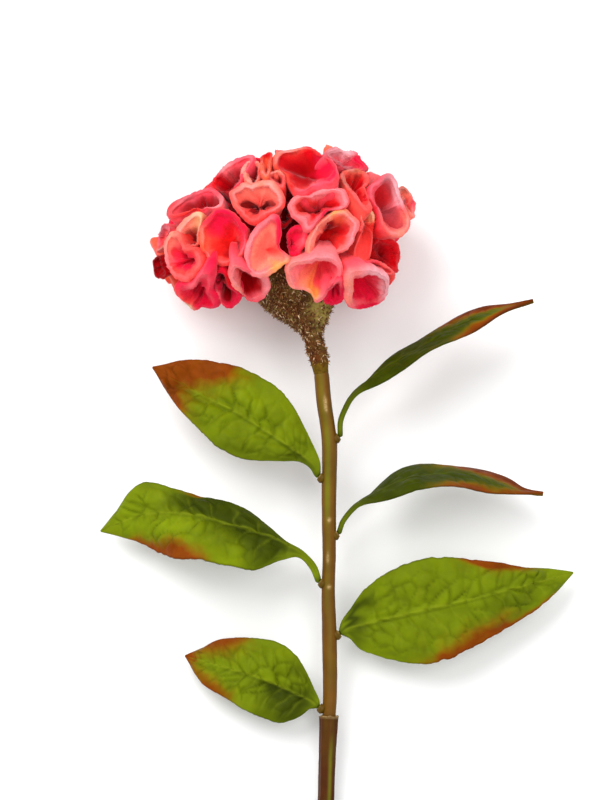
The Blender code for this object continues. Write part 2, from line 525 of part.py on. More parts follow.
def leaf_ring(leaf, share, centre, along):
    """The points round one station: across the top of the blade, then back underneath."""
    upper, lower, roll = blade_section(leaf, share)
    up = leaf["side"] * Vector((0, 0, 1)).cross(along).normalized()
    face = leaf["side"] * along.cross(up).normalized()
    up, face = (up * math.cos(roll) + face * math.sin(roll),
                face * math.cos(roll) - up * math.sin(roll))
    blade = min(1.0, max(0.0, (upper + lower - 2 * PETIOLE_HALF_WIDTH) / 10.0))
    wave_height, waves, phase = leaf["wave"]
    top, bottom = [], []
    for step in range(-HALF_BLADE_STEPS, HALF_BLADE_STEPS + 1):
        v = step / HALF_BLADE_STEPS
        reach = abs(v) ** (1.0 + 0.35 * blade)
        width = (upper if v > 0 else lower) * reach
        lift = blade * width * (leaf["fold"] - leaf["curl"] * reach)
        lift += blade * wave_height * v * v * math.sin(2 * math.pi * waves * share + phase + v)
        middle = centre + up * math.copysign(width, v) + face * lift
        rib = RIB * math.exp(-((width / RIB_WIDTH) ** 2)) * (1.15 - share)
        flat = BLADE + (BLADE_EDGE - BLADE) * reach
        round_half = PETIOLE_THICKNESS / 2 * math.sqrt(max(0.06, 1 - (0.93 * v) ** 2))
        over = blade * flat / 2 + (1 - blade) * round_half
        under = blade * (flat / 2 + rib) + (1 - blade) * round_half
        top.append(middle + face * over)
        bottom.append(middle - face * under)
    return top + bottom[::-1] if leaf["side"] > 0 else bottom + top[::-1]


def peg_rings(leaf, first_ring):
    """Two rings of the round peg that carries the leaf, and the shoulder against the stem's boss."""
    mouth, out = socket_line(leaf)
    centre = sum(first_ring, Vector()) / len(first_ring)
    rings = []
    for distance, radius in ((-PEG_DEPTH, PEG_RADIUS), (BOSS_HEIGHT + GAP, PEG_RADIUS),
                             (BOSS_HEIGHT + GAP, None)):
        middle = mouth + out * distance
        ring = []
        for point in first_ring:
            away = point - centre
            away -= out * away.dot(out)
            ring.append(middle + (away.normalized() * radius if radius else away))
        rings.append(ring)
    return rings


def make_leaf(name, leaf, finish, parent):
    mouth, out = socket_line(leaf)
    start = mouth + out * (BOSS_HEIGHT + GAP + 0.5)
    path = smooth_path((start, *leaf["midrib"][1:]), LEAF_STEPS)
    slopes = np.gradient(path, axis=0)
    rings = []
    for row, (centre, slope) in enumerate(zip(path, slopes)):
        share = row / (LEAF_STEPS - 1)
        rings.append(leaf_ring(leaf, share, Vector(centre), Vector(slope).normalized()))
    return mesh_object(name, *skin(peg_rings(leaf, rings[0]) + rings), finish, parent)


# Receptacle

def receptacle_rings(grow):
    """Rings round the funnel, each moved out by grow(y) millimetres."""
    sections = smooth_path(RECEPTACLE, 14)
    rings = []
    for x, y, half_width, half_depth in sections:
        half_width, half_depth = half_width + grow(y), half_depth + grow(y)
        slant = float(np.interp(y, (164.6, 185.0), RECEPTACLE_SLANT))
        rings.append([
            Vector((x - half_width * math.cos(a), y - slant * half_width * math.cos(a),
                    half_depth * math.sin(a)))
            for a in (2 * math.pi * side / RECEPTACLE_SIDES for side in range(RECEPTACLE_SIDES))
        ])
    return rings


def chaff_spike(index, rng, parent):
    """One stub of chaff: a three-sided spike that stands out of the funnel and leans upwards."""
    share = (index + 0.5) / CHAFF_COUNT
    y = 167.5 + (CHAFF_TOP - 167.5) * share ** 0.62
    angle = index * math.pi * (3 - math.sqrt(5)) + rng.uniform(-0.2, 0.2)
    levels = [section[1] for section in RECEPTACLE]
    x, half_width, half_depth = (
        float(np.interp(y, levels, [section[i] for section in RECEPTACLE])) for i in (0, 2, 3)
    )
    foot = Vector((x - half_width * math.cos(angle), y, half_depth * math.sin(angle)))
    out = Vector((-math.cos(angle) / half_width, -0.03, math.sin(angle) / half_depth)).normalized()
    out = (out + Vector([rng.uniform(-0.45, 0.45) for _ in range(3)])).normalized()
    tip = foot + out * rng.uniform(*CHAFF_LENGTH)
    root = foot - out * CHAFF_SINK
    turn = out.to_track_quat("Z", "Y").to_matrix()
    corners = [
        root + turn @ Vector((CHAFF_RADIUS * math.cos(a), CHAFF_RADIUS * math.sin(a), 0))
        for a in (0, 2 * math.pi / 3, 4 * math.pi / 3)
    ]
    faces = [(0, 1, 3), (1, 2, 3), (2, 0, 3), (2, 1, 0)]
    return mesh_object("chaff", [*corners, tip], faces, parent=parent)


def make_receptacle(finish, parent):
    rng = np.random.default_rng(SEED)
    funnel = mesh_object("receptacle", *skin(receptacle_rings(lambda y: 0.0)), finish, parent)
    spikes = [chaff_spike(index, rng, parent) for index in range(CHAFF_COUNT)]
    combine(funnel, "UNION", collect("chaff", spikes), "MANIFOLD")
    start = (-3.1, 161.0, SPIGOT_RADIUS)
    bore = mesh_object(
        "bore", *skin(stem_rings((start, *SPIGOT), 5, STEM_SIDES, grow=GAP)), parent=parent
    )
    bore.location.y += GAP * MM
    combine(funnel, "DIFFERENCE", bore, "MANIFOLD")
    keep_one_body(funnel)
    return funnel


# Crest

def round_value(values, angles):
    """Smooth values between numbers that are given in equal steps round a turn."""
    count = len(values)
    place = np.asarray(angles) / (2 * math.pi) * count
    step = np.floor(place).astype(int)
    t = place - step
    a, b, c, d = (np.asarray(values)[(step + shift) % count] for shift in (-1, 0, 1, 2))
    bend = (2 * a - 5 * b + 4 * c - d) * t * t + (3 * b - a - 3 * c + d) * t ** 3
    return 0.5 * (2 * b + (c - a) * t + bend)


def crest_level(point, inset):
    """1 on the crest's round shape, drawn in by inset, and less inside."""
    x, y, z = point[0] - CREST_X, point[1] - CREST_Y, point[2]
    reach = float(round_value(OUTLINE, math.atan2(y, x))) - inset
    across = math.hypot(x, y) / reach
    return (across ** ROUNDNESS + abs(z / (CREST_DEPTH - inset)) ** ROUNDNESS) ** (1 / ROUNDNESS)


def crest_point(ray, inset):
    """Where a ray from the crest's middle meets its round shape."""
    middle = np.array((CREST_X, CREST_Y, 0.0))
    return middle + ray / crest_level(middle + ray, inset)


def crest_normal(point):
    steps = np.eye(3) * 2.0
    slope = [crest_level(point + s, INSET) - crest_level(point - s, INSET) for s in steps]
    return np.array(slope) / np.linalg.norm(slope)


def on_front(x, y):
    """The point of the crest's round shape that is seen at x, y from the front."""
    left = 1 - min(0.97, crest_level((x, y, 0.0), INSET)) ** ROUNDNESS
    return np.array((x, y, (CREST_DEPTH - INSET) * left ** (1 / ROUNDNESS)))


def front_ruffles():
    """The ruffles that the front view shows, each with its own rim and hollow."""
    made = []
    for x, y, lift, lip_angle, lip_drop, rim, hollow in FRONT_RUFFLES:
        point = on_front(x, y)
        normal = crest_normal(point)
        slope = -normal[:2] / max(normal[2], FRONT_TILT)
        large = sum(rim) > LARGE_RIM
        made.append({
            "centre": point + (0.0, 0.0, lift),
            "normal": normal,
            "lip_axis": np.array((0.0, 0.0, 1.0)),
            "across": np.array((1.0, 0.0, slope[0])),
            "over": np.array((0.0, 1.0, slope[1])),
            "rim": rim,
            "hollow": hollow,
            "lip": (math.radians(lip_angle), lip_drop),
            "sides": LARGE_SIDES if large else SMALL_SIDES,
            "stages": STAGES if large else (STAGES[0], *STAGES[2:]),
        })
    return made


def spread(taken):
    """Middles for the ruffles behind the front ones, picked from a spiral of candidates."""
    points = []
    for index in range(BACK_CANDIDATES):
        level = 1 - 2 * (index + 0.5) / BACK_CANDIDATES
        turn = index * math.pi * (3 - math.sqrt(5))
        ring = math.sqrt(1 - level * level)
        point = crest_point(np.array((ring * math.cos(turn), level, ring * math.sin(turn))), INSET)
        near = min(np.linalg.norm(point - other) for other in taken + points)
        if point[2] < BACK_FRONT_LIMIT and point[1] > UNDERSIDE and near > BACK_SPACING:
            points.append(point)
    return points


def back_ruffles(front):
    """Ruffles by rule: ovals pressed flat towards their neighbours, each with a fold or two."""
    rng = np.random.default_rng(SEED)
    made = []
    for point in spread([ruffle["centre"] for ruffle in front]):
        normal = crest_normal(point)
        across = np.cross((0.0, 1.0, 0.3), normal)
        across /= np.linalg.norm(across)
        size = BACK_SPACING * rng.uniform(0.54, 0.68)
        made.append({
            "centre": point + normal * rng.uniform(-1.5, 0.8),
            "normal": normal,
            "lip_axis": normal,
            "across": across,
            "over": np.cross(normal, across),
            "lip": (rng.uniform(0, 2 * math.pi), rng.uniform(0.0, 2.5)),
            "oval": (size, size * rng.uniform(0.66, 0.95), rng.uniform(0, math.pi)),
            "folds": [(rng.uniform(0, 2 * math.pi), rng.uniform(0.1, 0.42)) for _ in range(2)],
            "wall": rng.uniform(3.0, 4.2),
            "sides": SMALL_SIDES,
            "stages": (STAGES[0], *STAGES[2:]),
        })
    angles = np.arange(16) * math.pi / 8
    rims = [pressed_rim(ruffle, front + made, angles) for ruffle in made]
    for ruffle, rim in zip(made, rims):
        ruffle["rim"] = rim
        ruffle["hollow"] = np.maximum(rim - ruffle["wall"], 0.9) * rng.uniform(0.8, 1.0)
    return made


def oval_radius(ruffle, angle):
    if "rim" in ruffle:
        return float(round_value(ruffle["rim"], angle))
    a, b, turn = ruffle["oval"]
    return 1 / math.hypot(math.cos(angle - turn) / a, math.sin(angle - turn) / b)


def pressed_rim(ruffle, others, angles):
    """The rim's radii, pressed flat towards each neighbour and drawn in where it folds."""
    rays = np.outer(np.cos(angles), ruffle["across"]) + np.outer(np.sin(angles), ruffle["over"])
    total = np.array([oval_radius(ruffle, angle) for angle in angles]) ** -9.0
    for other in others:
        toward = other["centre"] - ruffle["centre"]
        distance = np.linalg.norm(toward)
        if other is ruffle or distance > 42.0:
            continue
        toward /= distance
        mine, theirs = (
            oval_radius(one, math.atan2(way @ one["over"], way @ one["across"]))
            for one, way in ((ruffle, toward), (other, -toward))
        )
        room = distance * mine / (mine + theirs) - CREVICE / 2
        total += (np.maximum(rays @ toward, 0.02) / room) ** 9.0
    rim = total ** (-1 / 9.0)
    for fold_angle, depth in ruffle["folds"]:
        off = np.angle(np.exp(1j * (angles - fold_angle)))
        rim *= 1 - depth * np.exp(-((off / 0.5) ** 2))
    return rim


def warp(points):
    """Bends what lies behind the front ruffles a little, so that no ruffle stays a plain ring."""
    x, y, z = np.moveaxis(points, -1, 0) * 2 * math.pi
    short, long = WARP_LENGTHS
    share = np.clip((20.0 - points[..., 2:]) / 12.0, 0.0, 1.0)
    return points + WARP * share * np.stack([
        np.sin(y / short + 1.3) * np.cos(z / long + 0.4),
        np.sin(z / short + 2.1) * np.cos(x / long + 5.0),
        np.sin(x / short + 0.7) * np.cos(y / long + 3.9),
    ], axis=-1)


def ruffle_rings(ruffle):
    """Rings from the root up the outside, over the rim and down the inside."""
    angles = np.arange(ruffle["sides"]) * 2 * math.pi / ruffle["sides"]
    rim, hollow = round_value(ruffle["rim"], angles), round_value(ruffle["hollow"], angles)
    width = np.clip(rim - hollow, 1.0, 9.0)
    lip_angle, lip_drop = ruffle["lip"]
    drop = lip_drop * (0.5 + 0.5 * np.cos(angles - lip_angle)) ** 2
    rays = np.outer(np.cos(angles), ruffle["across"]) + np.outer(np.sin(angles), ruffle["over"])
    rings = []
    for depth, lip_depth, inside, share in ruffle["stages"]:
        radius = (rim + (hollow - rim) * inside) * share
        down = lip_depth * width + drop * (1 - depth / RUFFLE_DEPTH)
        rings.append(warp(ruffle["centre"] + rays * radius[:, None] - depth * ruffle["normal"]
                          - np.outer(down, ruffle["lip_axis"])))
    return rings


def make_core(finish, parent):
    sides, rows = 20, 10
    rings = []
    for row in range(1, rows):
        polar = math.pi * row / rows
        rings.append([
            Vector(crest_point(np.array((math.sin(polar) * math.cos(turn), -math.cos(polar),
                                         -math.sin(polar) * math.sin(turn))), CORE_INSET))
            for turn in (2 * math.pi * side / sides for side in range(sides))
        ])
    return mesh_object("crest", *skin(rings), finish, parent)


def make_crest(finish, parent):
    crest = make_core(finish, parent)
    front = front_ruffles()
    cups = [
        mesh_object("ruffle", *skin(ruffle_rings(ruffle)), parent=parent)
        for ruffle in front + back_ruffles(front)
    ]
    combine(crest, "UNION", collect("ruffles", cups), "MANIFOLD")
    room = receptacle_rings(
        lambda y: float(np.interp(y, (CHAFF_TOP, CHAFF_TOP + 3.0), (CHAFF_ROOM, GAP)))
    )
    combine(crest, "DIFFERENCE", mesh_object("room", *skin(room), parent=parent), "MANIFOLD")
    keep_one_body(crest)
    return crest


def make_floor():
    """The surface that the stem lies on, used to flatten what presses on it."""
    corners = [(x, y, z) for x in (-400, 400) for y in (-400, 400) for z in (-60, 0)]
    faces = [(0, 1, 3, 2), (4, 6, 7, 5), (0, 4, 5, 1), (2, 3, 7, 6), (0, 2, 6, 4), (1, 5, 7, 3)]
    return mesh_object("floor", corners, faces)


def world_box(objects):
    bpy.context.view_layer.update()
    corners = np.array([obj.matrix_world @ v.co for obj in objects for v in obj.data.vertices])
    return corners.min(axis=0), corners.max(axis=0)


def main():
    clear_scene()
    laid = bpy.data.objects.new("laid_stem", None)
    bpy.context.scene.collection.objects.link(laid)
    laid.rotation_euler.x = LEAN
    velvet, chaff = material("velvet", 0.9), material("chaff", 0.85)
    stem, leaf = material("stem", 0.45), material("leaf", 0.5)
    crest = make_crest(velvet, laid)
    pieces = [crest, make_receptacle(chaff, laid), make_upper_stem(stem, laid),
              make_lower_stem(stem, laid)]
    pieces += [make_leaf(name, shape, leaf, laid) for name, shape in LEAVES.items()]
    low, high = world_box([crest])
    laid.location.z = -low[2] - FLATTENED * MM
    bpy.context.view_layer.update()
    combine(crest, "DIFFERENCE", make_floor(), "MANIFOLD")
    keep_one_body(crest)
    low, high = world_box(pieces)
    laid.location.x -= (low[0] + high[0]) / 2
    laid.location.y -= (low[1] + high[1]) / 2
    for obj in pieces:
        obj.data.shade_smooth()


main()
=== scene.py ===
"""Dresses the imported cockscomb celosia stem: a velvet crest of folded ruffles on a flocked funnel,
a moulded stem with alternate leaves, a pale floor, soft light and the camera above it.

Shapes are worked out upright, in millimetres: X to the right, Y up the stem from the stem joint,
Z towards the viewer. to_frame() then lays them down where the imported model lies.
"""

import itertools
import math

import bpy
import numpy as np
from bpy.props import FloatProperty, FloatVectorProperty, IntProperty, PointerProperty
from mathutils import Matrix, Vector


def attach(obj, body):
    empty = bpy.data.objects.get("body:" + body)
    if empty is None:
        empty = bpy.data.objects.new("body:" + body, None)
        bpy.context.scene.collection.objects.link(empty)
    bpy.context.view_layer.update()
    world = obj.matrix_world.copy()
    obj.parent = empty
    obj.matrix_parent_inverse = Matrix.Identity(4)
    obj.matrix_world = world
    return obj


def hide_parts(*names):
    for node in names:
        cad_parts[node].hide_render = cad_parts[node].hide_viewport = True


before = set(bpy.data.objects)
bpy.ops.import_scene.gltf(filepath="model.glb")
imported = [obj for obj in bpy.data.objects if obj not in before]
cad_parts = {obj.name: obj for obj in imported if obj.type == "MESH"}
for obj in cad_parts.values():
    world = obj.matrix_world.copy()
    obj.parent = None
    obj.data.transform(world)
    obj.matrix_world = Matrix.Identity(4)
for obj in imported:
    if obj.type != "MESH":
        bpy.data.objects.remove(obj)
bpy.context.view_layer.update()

bl_info = {
    "name": "Cockscomb celosia stem",
    "version": (1, 0, 0),
    "blender": (4, 5, 0),
    "location": "View3D > Sidebar > Celosia",
    "description": "Velvet crest, flocked funnel, moulded stem and leaves of a cut celosia",
    "category": "Add Mesh",
}

MM = 0.001
IN_MM = 1000
TURN = 2 * math.pi
UP = np.array((0.0, 1.0, 0.0))
TO_VIEWER = np.array((0.0, 0.0, 1.0))

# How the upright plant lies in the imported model
LEAN = 0.12697270512580872
LAID_AT = (-0.0039116814732551575, -0.09629186242818832, 0.014124499633908272)

# Stem: x, y along the stem, radius
JOINT_DEPTH = 12.0
GAP = 0.35
LOWER_END = -80.0
LOWER_STEM = (
    (-2.2, LOWER_END, 3.9), (-1.3, -40.0, 3.95), (-0.7, -19.0, 4.1), (-0.1, -6.0, 4.4),
    (0.1, 0.0, 4.6),
)
LOWER_RIBS = 7
LOWER_GRID, UPPER_GRID = (170, 84), (320, 64)  # rings, points round each
UPPER_STEM = (
    (0.0, -JOINT_DEPTH + GAP, 3.15), (0.1, 0.0, 3.2), (0.6, 12.8, 3.4), (0.3, 36.7, 3.55),
    (-0.3, 58.2, 3.25), (0.1, 75.5, 3.2), (0.0, 100.8, 3.5), (0.3, 121.9, 3.65),
    (0.2, 131.8, 3.75), (-0.8, 140.2, 3.55), (-2.3, 150.1, 3.65), (-3.6, 164.2, 3.6),
)

STEM_SCARS = (  # y, angle round the stem, height, half length, half width
    (151.0, 1.75, 0.22, 2.4, 0.22), (147.6, 1.7, 0.16, 1.6, 0.2), (94.2, 1.6, 0.12, 1.0, 0.25),
    (76.0, 1.35, 0.14, 2.2, 0.2), (62.0, 1.7, 0.10, 0.9, 0.3),
)

# Leaves. Each midrib runs from its socket to the tip; half widths stand at WIDTH_STATIONS.
SOCKET_RISE = math.radians(35)
BOSS_HEIGHT = 0.9
BLADE = 0.9
BLADE_EDGE = 0.62
RIB = 1.1
RIB_WIDTH = 1.9
PETIOLE_HALF_WIDTH = 1.7
PETIOLE_THICKNESS = 2.5
PEG_RADIUS = 1.05
COLLAR = (  # place along the socket's line, radius
    (-2.2, 1.7), (-1.2, 2.5), (-0.3, 2.45), (0.35, 2.15), (0.85, 1.95), (1.05, 1.7), (0.9, 1.4),
    (-0.4, 1.3),
)
COLLAR_ROWS, COLLAR_SIDES = 26, 32
LEAF_ROWS, LEAF_STEPS = 176, 26  # rings along a leaf, points from its midrib to an edge
WIDTH_STATIONS = (0.0, 0.06, 0.13, 0.2, 0.3, 0.4, 0.5, 0.6, 0.7, 0.8, 0.9, 0.96, 1.0)
LEAVES = {
    "leaf_left_upper": {
        "side": -1,
        "midrib": (
            (-3.9, 114.6, 0.6), (-9.2, 122.2, 2.6), (-21.6, 131.0, 5.4), (-30.7, 137.2, 6.6),
            (-45.4, 146.2, 6.2), (-62.5, 155.0, 2.6), (-84.6, 167.4, -5.0),
        ),
        "upper": (1.45, 4.0, 8.0, 12.2, 17.0, 20.2, 20.7, 20.2, 18.0, 14.6, 8.6, 3.6, 0.5),
        "lower": (1.45, 2.2, 3.6, 7.8, 14.2, 18.2, 19.2, 17.0, 13.6, 10.4, 5.7, 2.4, 0.5),
        "roll": (-6, -10, 4),
        "fold": 0.20,
        "curl": 0.16,
        "wave": (0.9, 2.3, 0.4),
    },
    "leaf_left_middle": {
        "side": -1,
        "midrib": (
            (-3.6, 64.0, 0.6), (-7.7, 72.0, 1.8), (-13.6, 78.4, 3.6), (-20.0, 82.0, 5.0),
            (-31.0, 86.4, 7.0), (-45.8, 91.0, 8.0), (-61.2, 95.4, 6.6), (-75.4, 97.6, 2.6),
            (-92.8, 95.3, -4.6), (-109.7, 88.6, -11.0),
        ),
        "upper": (1.45, 1.6, 1.5, 1.8, 5.8, 10.8, 12.6, 11.4, 13.0, 16.0, 6.4, 2.8, 0.5),
        "lower": (1.45, 1.9, 2.4, 8.0, 17.8, 20.6, 23.4, 24.0, 21.0, 15.6, 9.0, 3.8, 0.5),
        "roll": (-12, -34, 2),
        "fold": 0.24,
        "curl": 0.26,
        "wave": (1.1, 2.0, 2.2),
    },
    "leaf_left_lower": {
        "side": -1,
        "midrib": (
            (-4.0, 3.9, 0.4), (-9.1, 7.8, 1.6), (-21.7, 13.8, 4.0), (-35.7, 19.3, 4.2),
            (-51.8, 23.9, 0.4), (-61.9, 26.6, -4.0), (-68.8, 28.5, -7.6),
        ),
        "upper": (1.45, 4.6, 8.8, 12.8, 17.2, 19.0, 18.4, 16.8, 14.6, 11.4, 6.2, 2.8, 0.5),
        "lower": (1.45, 7.2, 13.0, 16.2, 17.2, 17.4, 16.6, 14.8, 13.0, 10.8, 6.2, 2.8, 0.5),
        "roll": (10, -8, -4),
        "fold": 0.26,
        "curl": 0.20,
        "wave": (1.2, 2.6, 1.1),
    },
    "leaf_right_lower": {
        "side": 1,
        "midrib": (
            (4.2, 39.2, 0.4), (9.6, 42.4, 1.6), (17.3, 44.4, 3.4), (32.9, 48.4, 6.2),
            (53.5, 53.3, 7.0), (74.2, 58.0, 4.4), (90.7, 61.8, -0.6), (104.2, 65.0, -6.4),
            (117.5, 68.4, -12.0),
        ),
        "upper": (1.45, 8.4, 15.2, 19.4, 22.8, 23.8, 21.4, 17.6, 13.4, 8.4, 5.4, 2.6, 0.5),
        "lower": (1.45, 10.8, 17.0, 21.6, 25.4, 25.8, 23.4, 20.2, 16.6, 12.6, 7.2, 3.2, 0.5),
        "roll": (0, 4, -8),
        "fold": 0.14,
        "curl": 0.16,
        "wave": (1.2, 2.2, 2.9),
    },
    "leaf_right_upper": {
        "side": 1,
        "midrib": (
            (3.9, 133.6, 0.4), (6.0, 143.2, 0.8), (11.9, 154.4, 1.4), (19.9, 161.2, 2.0),
            (29.5, 168.1, 2.4), (41.2, 174.8, 2.2), (53.0, 182.1, 1.4), (65.5, 188.6, 0.2),
            (78.0, 193.6, -1.2), (98.2, 199.3, -3.2),
        ),
        "upper": (1.45, 1.7, 2.2, 3.6, 5.6, 8.8, 12.4, 15.6, 13.0, 7.6, 3.6, 1.8, 0.5),
        "lower": (1.45, 1.7, 2.6, 5.2, 8.8, 11.4, 12.2, 13.2, 11.0, 7.0, 3.6, 1.8, 0.5),
        "roll": (-70, -71, -62),
        "fold": 0.06,
        "curl": 0.10,
        "wave": (1.3, 2.4, 0.8),
    },
    "leaf_right_middle": {
        "side": 1,
        "midrib": (
            (3.4, 87.2, 0.2), (7.3, 94.4, 0.4), (14.0, 101.6, 0.8), (26.9, 108.8, 1.2),
            (38.9, 113.8, 1.4), (54.2, 116.0, 0.6), (67.7, 115.4, -0.8), (82.1, 111.6, -2.6),
            (93.0, 107.8, -4.0), (103.0, 106.6, -5.4),
        ),
        "upper": (1.45, 1.8, 2.8, 5.6, 11.0, 14.8, 16.6, 16.0, 13.6, 9.6, 5.0, 2.4, 0.5),
        "lower": (1.45, 1.8, 3.0, 6.0, 11.4, 15.2, 16.8, 16.4, 14.0, 10.0, 5.2, 2.4, 0.5),
        "roll": (-78, -68, -74),
        "fold": 0.10,
        "curl": 0.14,
        "wave": (1.5, 2.1, 2.0),
    },
}

# Funnel under the crest: x, y, half width, half depth
RECEPTACLE = (
    (-3.7, 164.6, 3.7, 3.7), (-4.7, 170.0, 4.0, 4.0), (-6.6, 178.0, 4.0, 4.0),
    (-8.1, 183.0, 4.7, 4.6), (-9.8, 187.0, 7.0, 6.6), (-11.6, 190.0, 10.4, 8.8),
    (-13.2, 193.0, 13.4, 10.6), (-14.8, 197.0, 16.2, 12.8), (-16.6, 201.5, 19.6, 15.2),
    (-18.4, 206.5, 24.6, 18.2), (-20.0, 212.0, 29.6, 21.6), (-21.0, 216.0, 32.2, 23.0),
    (-21.0, 218.6, 29.0, 20.0),
)
SLANT_LEVELS = (164.6, 185.0)
RECEPTACLE_SLANT = (0.19, 0.0)  # its foot follows the leaning stem's top, its top is level
BARE_PATCHES = (  # olive, at its upper right and upper left: how bare, x, width, y, height
    (1.1, -2.5, 7.5, 195, 10.5), (0.9, -1.0, 8.0, 206, 6.0), (0.75, -33.0, 7.0, 207, 4.0),
    (0.7, -17.0, 3.0, 207.5, 4.0),
)
FUNNEL_ROWS, FUNNEL_SIDES = 190, 150
CHAFF_TOP_ROW = 165  # the rows above this lie in the crest

# Crest. Radii run anticlockwise from the right, as seen from the front, in equal steps.
CREST_X = -21.1
CREST_Y = 228.0
OUTLINE = (
    55.4, 64.0, 57.6, 50.9, 52.1, 45.6, 43.2, 42.9,
    45.1, 45.4, 47.3, 56.5, 62.0, 64.0, 57.6, 46.4,
    34.2, 29.9, 29.3, 30.8, 35.3, 46.7, 55.1, 56.6,
)
CREST_DEPTH = 44.0
ROUNDNESS = 2.6  # exponent of the crest's depth; 2 would be an ellipse
INSET = 1.2  # the rims' middles lie this far inside the outline
CORE_INSET = 17.5
CORE_ROWS, CORE_SIDES = 72, 130
LIP_SHARE = 0.62  # of the way from the rim to the hollow
RUFFLE_DEPTH = 19.0  # from the rim to the root, which is sunk in the core
# Stages from the root over the rim into the hollow: depth, lip depth (in lip widths), place
# across the lip, place from the lip to the hollow, share of that radius, place for the dyes
STAGES = (
    (RUFFLE_DEPTH, 0.0, 0.0, 0.0, 0.58, 0.0),
    (9.0, 0.2, 0.0, 0.0, 0.86, 0.2),
    (0.6, 0.55, 0.0, 0.0, 1.0, 0.42),
    (0.0, -0.06, 0.5, 0.0, 1.0, 0.6),
    (0.6, 0.55, 1.0, 0.0, 1.0, 0.74),
    (5.5, 0.6, 1.0, 1.0, 1.0, 0.92),
    (14.0, 0.6, 1.0, 1.0, 0.4, 1.0),
)
